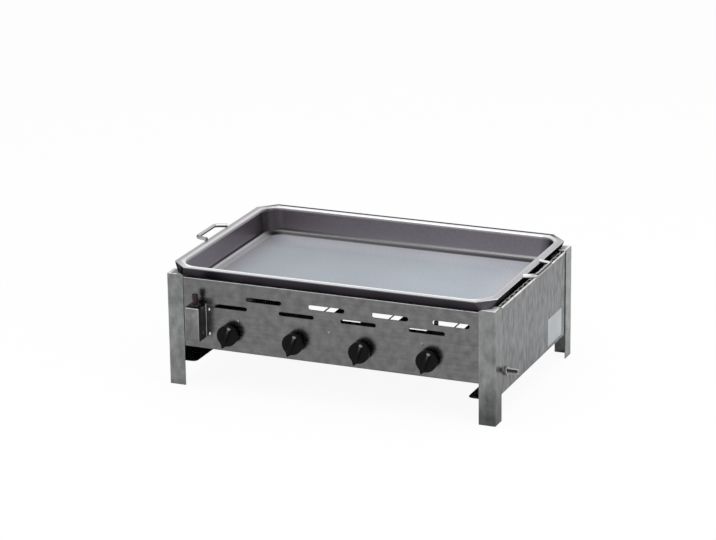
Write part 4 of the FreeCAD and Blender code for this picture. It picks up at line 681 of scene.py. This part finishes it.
knob_plastic = moulded("knob_plastic", KNOB_COLOUR, rough=0.30, gloss=KNOB_GLOSS, tinted=True)
towards_tip = (-np.sin(POINTER_TURN), 0, -np.cos(POINTER_TURN))
beside_tip = (np.cos(POINTER_TURN), 0, -np.sin(POINTER_TURN))
knob_axes = np.array([towards_tip, beside_tip, (0, -1, 0)])
knob_angle = round_angles(KNOB_STEPS)
circle = np.ones(KNOB_STEPS)
neck_radius, neck_depth = np.array(NECK_ROWS).T[:, :, None]
skirt_inside, skirt_depth = np.array(SKIRT_ROWS).T[:, :, None]
face_radius, face_depth = np.array(FACE_ROWS).T[:, :, None]
knob_reach = np.vstack([neck_radius * circle, pointed(knob_angle) - skirt_inside, face_radius * circle])
knob_depth = np.vstack([neck_depth, skirt_depth, face_depth])
grip_long, grip_wide, grip_depth, grip_highlight = np.array(GRIP_ROWS).T[:, :, None]
square_x, square_y = squarish(knob_angle, GRIP_SQUARE)
grip_reach = np.where(square_x < 0, GRIP_FAR, 1.0) * square_x
grip_form = grid_of(grip_long * grip_reach, grip_wide * square_y, grip_depth)
# Painted highlight on the grip's far end
far_end = np.clip((-np.cos(knob_angle) - HIGHLIGHT_FROM) / (1 - HIGHLIGHT_FROM), 0, 1)
grip_highlight_tint = (1 + HIGHLIGHT_LIFT * grip_highlight * far_end)[..., None]
for number, x in enumerate(BURNER_X, start=1):
    knob = f"knob_{number}"
    centre = np.array([x, KNOB_BACK, KNOB_Z])
    moulding = [round_axis(knob_reach, knob_angle, knob_depth, centre, knob_axes),
                patch(centre + grip_form @ knob_axes, around=True, tint=grip_highlight_tint)]
    made(f"{knob}_moulding", moulding, knob, knob, knob_plastic, crease=40)

# Igniter: a box bent from 1.2 mm sheet, open below, with a flange riveted to the front panel.
# The spark unit hangs in its top by a black plastic collar, and its maroon button is pushed down to spark.
BOX_LEFT = -338.0
BOX_RIGHT = -304.0
BOX_FRONT = -280.5
BOX_MIDDLE = ((BOX_LEFT + BOX_RIGHT) / 2, (BOX_FRONT + PANEL_FACE) / 2)
BOX_SHEET = 1.2
BOX_BEND = 1.6
# How much brighter the box's bends are painted, as a highlight
BOX_BEND_HIGHLIGHT = 0.8
# Levels of the box's wall, and its tones at the lowest of them, darker towards the bottom; the upper two
# of the front are a painted highlight along its top edge
BOX_LEVELS = (124.0, 150.0, 180.0, 201.9, 202.2, 204.0)
LEVEL_TONES = (0.75, 0.95, 1.1)
LIP_LEVELS = 2
LIP_HIGHLIGHT = 4.5
SHADED_SIDE_TONE = 0.26
# The lid is painted much darker than the box, as shade
LID_SHADE = 0.1
LID_HOLE = 8.2
LID_STEPS = 40
# Places nearer than this lie on the same face
SAME_FACE = 0.01
FLANGE_END = -290.0
RIVET_X = -296.0
RIVET_Z = (134.0, 192.0)
# Rivet rows are radius and height above the flange; those of the collar and button are radius and height
RIVET_HEAD = [(0.0, -4.1), (1.6, -4.1), (1.6, 0.0), (3.4, 0.0), (3.3, 0.5), (2.8, 1.0), (2.0, 1.3),
              (0.9, 1.4), (0.7, 0.9), (0.0, 0.8)]
COLLAR = [(0.0, 140.0), (7.2, 140.0), (8.0, 140.8), (8.0, 204.0), (10.6, 204.0), (11.0, 204.4), (11.0, 207.0),
          (10.7, 207.7), (10.0, 208.0), (6.0, 208.0), (5.2, 207.2), (5.2, 152.0), (0.0, 152.0)]
BUTTON = [(0.0, 180.0), (4.6, 180.0), (5.0, 180.4), (5.0, 217.0), (6.6, 217.0), (7.0, 217.4), (7.0, 229.0),
          (6.8, 230.2), (6.2, 231.2), (5.2, 231.8), (3.6, 232.0), (0.0, 232.0)]
BUTTON_STEPS = 56
BOX_COLOUR = (0.180, 0.177, 0.182)
BOX_GRAIN = ((120.0, 120.0, 4.0), 5.0, 0.10)
RIVET_COLOUR = (0.80, 0.80, 0.78)
COLLAR_COLOUR = (0.012, 0.012, 0.012)
BUTTON_COLOUR = (0.020, 0.002, 0.005)
BUTTON_GLOSS = 0.3

box_steel = steel("box_steel", BOX_COLOUR, [BOX_GRAIN, MOTTLE], rough=0.20, tinted=True)
flange_y = PANEL_FACE - BOX_SHEET
box_plan = bent([(FLANGE_END, flange_y), (BOX_RIGHT, flange_y), (BOX_RIGHT, BOX_FRONT), (BOX_LEFT, BOX_FRONT),
                 (BOX_LEFT, PANEL_FACE)], BOX_BEND)
box_grid = grid_of(box_plan[:, :1], box_plan[:, 1:], np.array(BOX_LEVELS))
on_right = np.abs(box_plan[:, 0] - BOX_RIGHT) < SAME_FACE
on_front = box_plan[:, 1] < BOX_FRONT + SAME_FACE
level_tint = np.interp(BOX_LEVELS, BOX_LEVELS[:len(LEVEL_TONES)], LEVEL_TONES)[:, None]
# Painted light and shade: highlights on the bends, the right side in shade, and a painted highlight on the
# front's top edge
box_tint = bend_highlight(box_plan, BOX_BEND_HIGHLIGHT) * np.where(on_right, SHADED_SIDE_TONE, 1.0)[:, None, None] * level_tint
box_tint[on_front, -LIP_LEVELS:] = LIP_HIGHLIGHT
made("igniter_box_wall", [patch(box_grid, tint=box_tint)], "stand", "igniter_box", box_steel,
     outward=(0, -1, 0), thick=BOX_SHEET, broken=0.2)
lid_angle = round_angles(LID_STEPS)
lid_round = np.stack([np.cos(lid_angle), np.sin(lid_angle)])
lid_edge = lid_round / np.abs(lid_round).max(axis=0)
lid_x = BOX_MIDDLE[0] + np.stack([LID_HOLE * lid_round[0], (BOX_RIGHT - BOX_LEFT) / 2 * lid_edge[0]])
lid_y = BOX_MIDDLE[1] + np.stack([LID_HOLE * lid_round[1], (PANEL_FACE - BOX_FRONT) / 2 * lid_edge[1]])
# Painted shade on the lid
lid = patch(grid_of(lid_x, lid_y, BOX_LEVELS[-1]), around=True, tint=LID_SHADE)
made("igniter_box_lid", [lid], "stand", "igniter_box", box_steel, outward=(0, 0, 1),
     thick=BOX_SHEET, broken=0.3)
rivet_steel = steel("rivet_steel", RIVET_COLOUR, [EVEN_GRAIN], rough=0.25)
rivets = [turned(RIVET_HEAD, (RIVET_X, flange_y, z), TOWARDS_FRONT) for z in RIVET_Z]
made("igniter_rivet_pair", rivets, "stand", "igniter_rivets", rivet_steel)
collar_plastic = moulded("collar_plastic", COLLAR_COLOUR, rough=0.30)
button_plastic = moulded("button_plastic", BUTTON_COLOUR, rough=0.22, gloss=BUTTON_GLOSS)
collar = turned(COLLAR, (*BOX_MIDDLE, 0.0), UPWARDS, BUTTON_STEPS)
made("igniter_collar", [collar], "stand", "igniter_barrel", collar_plastic, crease=40)
button = turned(BUTTON, (*BOX_MIDDLE, 0.0), UPWARDS, BUTTON_STEPS)
made("igniter_push_button", [button], "igniter_button", "igniter_button", button_plastic,
     crease=40)
dress(spring_steel, "igniter_spring")

# Pan: pressed from 2 mm stainless sheet, a rounded bowl with a flat rim, cut-off corners and a skirt turned
# down, which stands loose on the legs' corner plates. The floor is satin, the rim's inner roll polished.
# Its tints are painted light and shade: painted shade darkens the walls and the skirt, and painted
# highlights and reflections brighten the rim, the roll and the floor, changing from side to side.
PAN_HALF_X = 393.0
PAN_HALF_Y = 266.0
RIM_OVER_LEGS = 9.0
PAN_MIDDLE_Y = FRONT_Y - RIM_OVER_LEGS + PAN_HALF_Y
SKIRT_TALL = 22.0
SKIRT_IN = 11.0
PAN_DEPTH = 59.0
RIM_TOP = LEG_TOP + SKIRT_TALL
FLOOR_TOP = RIM_TOP - PAN_DEPTH
PAN_SHEET = 2.0
WALL_INSET = 22.0
WALL_LEAN = 5.0
BOWL_CORNER = 42.0
FLOOR_ROUND = 10.0
RIM_ROUND = 8.0
RIM_CUT = 40.0
SKIRT_CUT = 20.0
# What a cut corner loses for each mm that its line lies further in, all round
CUT_NARROWING = 2 - np.sqrt(2)
# Rows of the rim, of the skirt's outside and of its inside: how far in from the rim's edge, and below its top
RIM_ROWS = [(12.5, 0.0), (10.0, 0.0), (2.0, 0.0), (0.9, 0.0), (0.3, 0.25), (0.0, 0.9), (0.0, 1.6)]
SKIRT_LINES = [(0.3, 2.4), (0.4, 2.6), (SKIRT_IN - 0.3, SKIRT_TALL - 0.5), (SKIRT_IN, SKIRT_TALL)]
INNER_SKIRT_LINES = [(SKIRT_IN, SKIRT_TALL), (0.4, PAN_SHEET)]
# Rings of the floor: how far inside the wall's foot, and how much tighter their corners are
FLOOR_RINGS = (90.0, 17.0, 11.0)
RING_TIGHTER = 3.0
CORNER_STEPS = 14
SIDE_STEPS = 10
ARC_ROWS = 9
# Finishes from the middle of the floor to the underside: the number of rows, the hue, the tone at the first
# and the last end of the right, rear, left and front side, and the shade in the corner after each side.
# The tones and shades are painted light and shade: highlights, reflections and shade round the pan
PLAIN = (1, 1, 1, 1)
FINISHES_AND_PAINTED_LIGHT = [
    ("middle", 2, (0.93, 1.00, 1.09), (0.45, 0.45, 0.45, 0.45, 0.45, 0.45, 0.45, 0.45), PLAIN),
    ("floor", 1, (1.00, 1.00, 1.08), (0.54, 0.54, 0.62, 0.62, 0.34, 0.34, 0.40, 0.40), PLAIN),
    ("foot", 6, (1.00, 1.00, 1.04), (0.40, 0.40, 0.12, 0.24, 0.48, 0.48, 0.40, 0.40), (1, 0.12, 1, 1)),
    ("heel", 3, (1.00, 1.00, 1.02), (0.20, 0.20, 0.38, 0.05, 0.08, 0.10, 0.20, 0.20), (1, 0.45, 1, 1)),
    ("wall", 5, (1.06, 0.96, 1.05), (0.24, 0.28, 0.265, 0.195, 0.24, 0.30, 0.28, 0.24), (0.38, 0.25, 1, 1)),
    ("roll", 1, (1.00, 1.00, 1.03), (0.40, 0.40, 0.55, 0.55, 0.27, 0.27, 0.36, 0.36), (1, 0.35, 1, 1)),
    ("inner rim", 5, (1.00, 1.00, 1.01), (0.50, 0.50, 0.95, 0.95, 0.62, 0.62, 1.05, 1.05), (1, 0.75, 1, 1)),
    ("outer rim", 3, (1.00, 1.00, 1.05), (0.44, 0.44, 0.14, 0.14, 0.34, 0.34, 0.62, 0.62), PLAIN),
    ("edge", 3, (1.00, 1.00, 1.02), (0.60, 0.60, 0.20, 0.20, 0.30, 0.30, 0.15, 0.15), PLAIN),
    ("neck", 2, (1.04, 0.93, 1.13), (0.08, 0.08, 0.08, 0.08, 0.06, 0.06, 0.06, 0.06), (1, 1, 2, 1)),
    ("skirt", 3, (1.04, 0.93, 1.13), (0.04, 0.03, 0.03, 0.03, 0.03, 0.03, 0.03, 0.03), (1, 1, 4, 3)),
    ("underside", 23, (1.00, 1.00, 1.00), (0.12, 0.12, 0.12, 0.12, 0.12, 0.12, 0.12, 0.12), PLAIN),
]
# Painted light: how the floor's middle tone changes for each mm to the right, to the rear and upwards
FLOOR_LIGHT_LEAN = (0.00016, 0.0001, 0.0)
# Between these heights in metres the satin floor turns to the smoother wall
SATIN_LEVEL = (0.231, 0.238)
SATIN_ROUGH = 0.58
POLISH_ROUGH = 0.30
# Mean tints between which the sheen at a low angle comes in
SHEEN_TINTS = (0.05, 0.30)
# The steel is white here, because the tints hold the finishes' tones and hues, with their painted light and
# shade
PAN_COLOUR = (1.0, 1.0, 1.0)
PAN_CLOUDS = ((6.0, 6.0, 6.0), 3.0, 0.04)
PAN_BUMP = 0.05


def pan_rows(rows):
    """Closed lines round the pan, one for each row of inset, height, corner size and share of cut corner.
    A corner is an arc of its size, or a straight cut of it; sides are straight between corners."""
    inset, height, corner, cut = np.array(rows, float)[:, :, None].transpose(1, 0, 2)
    turn = np.linspace(0, np.pi / 2, CORNER_STEPS + 1)
    step = turn / (np.pi / 2)
    corner_x = PAN_HALF_X - inset + corner * np.where(cut > 0, -step, np.cos(turn) - 1)
    corner_y = PAN_HALF_Y - inset + corner * np.where(cut > 0, step - 1, np.sin(turn) - 1)
    x = np.stack([corner_x, -corner_x[:, ::-1], -corner_x, corner_x[:, ::-1]], axis=1)
    y = np.stack([corner_y, corner_y[:, ::-1], -corner_y, -corner_y[:, ::-1]], axis=1)
    side = np.linspace(0, 1, SIDE_STEPS + 1)[1:-1]
    side_x = x[:, :, -1:] + (np.roll(x, -1, axis=1)[:, :, :1] - x[:, :, -1:]) * side
    side_y = y[:, :, -1:] + (np.roll(y, -1, axis=1)[:, :, :1] - y[:, :, -1:]) * side
    ring_x = np.concatenate([x, side_x], axis=2).reshape(len(x), -1)
    ring_y = np.concatenate([y, side_y], axis=2).reshape(len(y), -1)
    return grid_of(ring_x, PAN_MIDDLE_Y + ring_y, height)


def bowl_section(out):
    """Rows from the floor to the rim of a surface that lies out from the pan's inside by so much:
    an arc that leaves the floor level, the leaning wall, and an arc to the rim."""
    wall_inset, rim_top, floor_top = WALL_INSET - out, RIM_TOP - out, FLOOR_TOP - out
    corner, floor_round, rim_round = BOWL_CORNER + out, FLOOR_ROUND + out, RIM_ROUND - out
    lean = np.arctan2(WALL_LEAN, PAN_DEPTH)
    slope = np.tan(lean)
    low_z = floor_top + floor_round
    low_s = wall_inset + slope * (rim_top - low_z) + floor_round / np.cos(lean)
    top_z = rim_top - rim_round
    top_s = wall_inset + slope * (rim_top - top_z) - rim_round / np.cos(lean)
    foot_turn = np.linspace(0, np.pi / 2 - lean, ARC_ROWS)
    foot_s = low_s - floor_round * np.sin(foot_turn)
    foot_z = low_z - floor_round * np.cos(foot_turn)
    roll_turn = np.linspace(lean, np.pi / 2, ARC_ROWS)
    roll_s = top_s + rim_round * np.cos(roll_turn)
    roll_z = top_z + rim_round * np.sin(roll_turn)
    rows = [(low_s + ring, floor_top, corner - floor_round - RING_TIGHTER, 0) for ring in FLOOR_RINGS]
    rows += [(s, z, corner - floor_round + low_s - s, 0) for s, z in zip(foot_s, foot_z)]
    rows += [(s, z, corner + top_s + rim_round - s, 0) for s, z in zip(roll_s, roll_z)]
    return rows


def tones_round(tones, shades):
    """Tone of each place on the pan's lines: even steps along each side and through each corner to the next.
    In a corner they are times one plus the shade less one, times the sine of the share of half a turn."""
    step = np.linspace(0, 1, CORNER_STEPS + 1)
    first, last = np.moveaxis(tones.reshape(-1, 4, 2), 2, 0)[..., None]
    next_first, next_last = np.roll(first, -1, axis=1), np.roll(last, -1, axis=1)
    at_corner = (last + (next_first - last) * step) * (1 + (shades[..., None] - 1) * np.sin(np.pi * step))
    along_side = next_first + (next_last - next_first) * np.linspace(0, 1, SIDE_STEPS + 1)[1:-1]
    return np.concatenate([at_corner, along_side], axis=2).reshape(len(tones), -1)


def pan_finish():
    """Tinted steel whose roughness falls from the satin floor to the smoother wall and rim, by height.
    Where the tint's painted shade is dark it has no sheen at a low angle either."""
    material = steel("pan_steel", PAN_COLOUR, [EVEN_GRAIN, PAN_CLOUDS], rough=SATIN_ROUGH, bump=PAN_BUMP,
                     tinted=True)
    tree = material.node_tree
    shader = tree.nodes["Principled BSDF"]
    place = shading(tree, "TexCoord", "Object", {})
    height = shading(tree, "SeparateXYZ", "Z", {"Vector": place})
    tree.links.new(spread(tree, height, SATIN_ROUGH, POLISH_ROUGH, SATIN_LEVEL), shader.inputs["Roughness"])
    sheen = spread(tree, own_tint(tree, "Fac"), 0.0, 1.0, SHEEN_TINTS)
    tree.links.new(sheen, shader.inputs["Specular Tint"])
    return material


skirt_narrowing = (RIM_CUT - SKIRT_CUT) / SKIRT_IN
rim = [(inset, RIM_TOP - drop, RIM_CUT - CUT_NARROWING * inset, 1) for inset, drop in RIM_ROWS]
skirt = [(inset, RIM_TOP - drop, RIM_CUT - skirt_narrowing * inset, 1) for inset, drop in SKIRT_LINES]
inner_cut = RIM_CUT - CUT_NARROWING * PAN_SHEET
skirt += [(inset + PAN_SHEET, RIM_TOP - drop, inner_cut - skirt_narrowing * inset, 1)
          for inset, drop in INNER_SKIRT_LINES]
pan_grid = pan_rows(bowl_section(0.0) + rim + skirt + bowl_section(PAN_SHEET)[::-1])
middle = grid_of(np.zeros(pan_grid.shape[1]), PAN_MIDDLE_Y, 0.0)[None]
pan_grid = np.concatenate([middle + (0, 0, FLOOR_TOP), pan_grid, middle + (0, 0, FLOOR_TOP - PAN_SHEET)])
finish, finish_rows, *looks = (np.array(column) for column in zip(*FINISHES_AND_PAINTED_LIGHT))
finish = np.repeat(finish, finish_rows)
hues, tones, shades = (np.repeat(look, finish_rows, axis=0) for look in looks)
# Painted light and shade round the pan, and painted light across the floor's middle
pan_tone = tones_round(tones, shades)
from_middle = pan_grid[finish == "middle"] - (0, PAN_MIDDLE_Y, 0)
pan_tone[finish == "middle"] += from_middle @ np.array(FLOOR_LIGHT_LEAN)
pan = patch(pan_grid, around=True, tint=pan_tone[..., None] * hues[:, None])
made("pan_pressing", [pan], "pan", "pan", pan_finish(), crease=24)

# Pan handles: 9 mm bright stainless rod, bent to a flat loop and welded to the rim's short edge by its feet.
# The rod swells a little at the welds.
ROD_RADIUS = 4.5
ROD_Z = 290.5
ROD_FOOT_X = 392.6
ROD_BAR_X = 421.5
ROD_BEND = 10.0
ROD_BEND_STEPS = 10
FOOT_HALF = 58.0
BAR_HALF = 48.0
FOOT_ROWS = 7
WELD_REACH = 4.0
WELD_SWELL = 0.4
# How far the rod's closed ends stand out, as a share of a step along the foot
ROD_END = 0.01
ROD_FACES = 48
HANDLE_COLOUR = (0.85, 0.85, 0.85)
DRAWN_GRAIN = ((60.0, 60.0, 60.0), 5.0, 0.08)
# The left handle is painted darker, as shade
HANDLE_SHADE = {"left": 0.6, "right": 1.0}
# Painted reflections round the rod, bright and dark bands by angle from its inner side over the top,
# on the outer bar and on the feet
ROD_TURNS = np.pi * np.array((0.0, 0.12, 0.46, 0.56, 0.80, 0.92, 1.12, 1.25, 1.9, 2.0))
BAR_REFLECTIONS = (0.35, 0.9, 1.0, 0.06, 0.06, 0.5, 0.5, 0.2, 0.2, 0.35)
FOOT_REFLECTIONS = (0.35, 0.9, 1.0, 0.5, 0.75, 0.95, 0.85, 0.3, 0.2, 0.35)


def rod_along(path, reach, angle):
    """Circles carried along a level path: each stands square to the path, its reach given for each place."""
    ahead = np.gradient(path, axis=0)
    ahead /= np.linalg.norm(ahead, axis=1)[:, None]
    beside = np.stack([-ahead[:, 1], ahead[:, 0]], axis=1)
    swing = reach[:, None] * np.cos(angle)
    rise = reach[:, None] * np.sin(angle)
    return grid_of(path[:, :1] + beside[:, :1] * swing, path[:, 1:] + beside[:, 1:] * swing, ROD_Z + rise)


handle_steel = steel("handle_steel", HANDLE_COLOUR, [DRAWN_GRAIN], rough=0.18, tinted=True)
loop = bent([(ROD_FOOT_X, -FOOT_HALF), (ROD_BAR_X, -BAR_HALF), (ROD_BAR_X, BAR_HALF),
             (ROD_FOOT_X, FOOT_HALF)], ROD_BEND, ROD_BEND_STEPS)
foot_steps = np.linspace(0, 1, FOOT_ROWS)[:, None]
first_foot = loop[:1] + (loop[1:2] - loop[:1]) * foot_steps[:-1]
last_foot = loop[-2:-1] + (loop[-1:] - loop[-2:-1]) * foot_steps[1:]
loop = np.concatenate([first_foot, loop[1:-1], last_foot])
rod_reach = ROD_RADIUS + WELD_SWELL * np.clip(1 - (loop[:, 0] - ROD_FOOT_X) / WELD_REACH, 0, 1) ** 2
rod_reach = np.concatenate([[0.0], rod_reach, [0.0]])
first_end = loop[:1] - (loop[1:2] - loop[:1]) * ROD_END
last_end = loop[-1:] + (loop[-1:] - loop[-2:-1]) * ROD_END
loop = np.concatenate([first_end, loop, last_end])
rod_angle = round_angles(ROD_FACES)
on_bar = np.clip((loop[:, :1] - ROD_FOOT_X) / (ROD_BAR_X - ROD_FOOT_X), 0, 1) ** 2
# Painted reflections round the rod
bar_reflection = np.interp(rod_angle, ROD_TURNS, BAR_REFLECTIONS)
foot_reflection = np.interp(rod_angle, ROD_TURNS, FOOT_REFLECTIONS)
rod_tint = (bar_reflection * on_bar + foot_reflection * (1 - on_bar))[..., None]
for across, side in SIDES:
    handle = f"pan_handle_{side}"
    rod_grid = rod_along(loop, rod_reach, rod_angle) * (across, 1, 1) + (0, PAN_MIDDLE_Y, 0)
    rod = patch(rod_grid, around=True, tint=rod_tint * HANDLE_SHADE[side])
    made(f"{handle}_rod", [rod], "pan", handle, handle_steel, crease=40)

# Rating plate: a thin blank aluminium plate with rounded corners.
# It is stuck to the right side panel, low down near the rear leg.
RATING_LONG = 95.0
RATING_TALL = 66.0
RATING_LOW = 70.0
RATING_GAP = 27.0
RATING_CORNER = 3.0
RATING_STEPS = 64
# Rows are shares of the plate's outline, and the height above the panel
RATING_ROWS = [(0.0, 0.0), (1.0, 0.0), (1.0, 0.4), (0.995, 0.6), (0.0, 0.6)]
RATING_COLOUR = (0.45, 0.472, 0.49)
RATING_GRAIN = ((100.0, 6.0, 160.0), 5.0, 0.05)

plate_aluminium = steel("plate_aluminium", RATING_COLOUR, [RATING_GRAIN, CLOUDS], rough=0.40)
rating_y = REAR_Y - LEG_FLANGE - RATING_GAP - RATING_LONG / 2
rating_z = RATING_LOW + RATING_TALL / 2
rating_angle = round_angles(RATING_STEPS)
cosine, sine = np.cos(rating_angle), np.sin(rating_angle)
outline_y = np.sign(cosine) * (RATING_LONG / 2 - RATING_CORNER) + RATING_CORNER * cosine
outline_z = np.sign(sine) * (RATING_TALL / 2 - RATING_CORNER) + RATING_CORNER * sine
share, rise = np.array(RATING_ROWS).T[:, :, None]
rating_grid = grid_of(SIDE_FACE + rise, rating_y + share * outline_y, rating_z + share * outline_z)
made("rating_plate_blank", [patch(rating_grid, around=True)], "stand", "rating_plate",
     plate_aluminium)

# Studio: a white floor in a white room, with one wide soft lamp above and one to the right.
# The camera stands to the right of the front and looks down on the grill through a long lens.
WHITE = (1.0, 1.0, 1.0, 1.0)
FLOOR_HALF = 40.0
FLOOR_COLOUR = (0.9, 0.9, 0.9, 1.0)
FLOOR_GLOW = 0.93
ROOM_LIGHT = 0.75
# Name, place, target, width and power of each lamp
LAMPS = [("lamp_above", (0.3, -0.6, 3.2), (0.0, 0.0, 0.2), 3.0, 40.0),
         ("lamp_right", (3.2, -1.6, 1.8), (0.0, 0.0, 0.2), 2.0, 30.0)]
CAMERA_PLACE = (2.515, -6.0395, 2.376)
CAMERA_YAW = np.radians(22.83)
CAMERA_PITCH = np.radians(18.03)
CAMERA_ROLL = np.radians(-0.74)
CAMERA_LENS = 149.77
CAMERA_REACH = 200.0


def ray_share(tree, *kinds):
    """One for rays of the named kinds, nought for all others."""
    share, *others = [shading(tree, "LightPath", kind, {}) for kind in kinds]
    for other in others:
        share = shading(tree, "Math", "Value", {0: share, 1: other}, operation="MAXIMUM")
    return share


def looking(place, target, roll=0.0):
    """Placement at a place, looking at a target along its own minus Z, with its X level unless rolled."""
    back = np.array(place, float) - np.array(target, float)
    back /= np.linalg.norm(back)
    level_x = np.cross((0.0, 0.0, 1.0), back)
    level_x /= np.linalg.norm(level_x)
    upward = np.cross(back, level_x)
    right = np.cos(roll) * level_x + np.sin(roll) * upward
    upward = np.cos(roll) * upward - np.sin(roll) * level_x
    matrix = np.eye(4)
    matrix[:3, :4] = np.stack([right, upward, back, place], axis=1)
    return Matrix(matrix.tolist())


scene = bpy.context.scene
scene.world = bpy.data.worlds.new("studio_room")
scene.world.use_nodes = True
tree = scene.world.node_tree
room = tree.nodes["Background"]
room.inputs["Color"].default_value = WHITE
room.inputs["Strength"].default_value = ROOM_LIGHT
white = shading(tree, "Background", "Background", {"Color": WHITE})
seen = ray_share(tree, "Is Camera Ray", "Is Glossy Ray", "Is Transmission Ray")
backdrop = shading(tree, "MixShader", "Shader", {"Fac": seen, 1: room.outputs["Background"], 2: white})
tree.links.new(backdrop, tree.nodes["World Output"].inputs["Surface"])

paper, tree, matt = new_material("studio_floor")
matt.inputs["Base Color"].default_value = FLOOR_COLOUR
matt.inputs["Roughness"].default_value = 1.0
matt.inputs["Specular IOR Level"].default_value = 0.0
seen = ray_share(tree, "Is Camera Ray", "Is Transmission Ray")
level = shading(tree, "Math", "Value", {0: seen, 1: FLOOR_GLOW}, operation="MULTIPLY")
glow = shading(tree, "Emission", "Emission", {"Color": WHITE})
floor_look = shading(tree, "MixShader", "Shader", {"Fac": level, 1: matt.outputs["BSDF"], 2: glow})
tree.links.new(floor_look, tree.nodes["Material Output"].inputs["Surface"])
floor_mesh = bpy.data.meshes.new("studio_floor")
floor_corners = np.array([(-1, -1, 0), (1, -1, 0), (1, 1, 0), (-1, 1, 0)]) * FLOOR_HALF
floor_mesh.from_pydata(floor_corners.tolist(), [], [(0, 1, 2, 3)])
floor_mesh.materials.append(paper)
floor = bpy.data.objects.new("studio_floor", floor_mesh)
scene.collection.objects.link(floor)

for name, place, target, width, power in LAMPS:
    lamp = bpy.data.lights.new(name, "AREA")
    lamp.size = width
    lamp.energy = power
    lamp_holder = bpy.data.objects.new(name, lamp)
    lamp_holder.matrix_world = looking(place, target)
    scene.collection.objects.link(lamp_holder)

level_ahead = np.array([-np.sin(CAMERA_YAW), np.cos(CAMERA_YAW), 0.0]) * np.cos(CAMERA_PITCH)
ahead = level_ahead - np.array([0.0, 0.0, np.sin(CAMERA_PITCH)])
lens = bpy.data.cameras.new("photo_camera")
lens.lens = CAMERA_LENS
lens.clip_end = CAMERA_REACH
camera = bpy.data.objects.new("photo_camera", lens)
camera.matrix_world = looking(CAMERA_PLACE, CAMERA_PLACE + ahead, CAMERA_ROLL)
scene.collection.objects.link(camera)
scene.camera = camera
scene.view_settings.view_transform = "Standard"
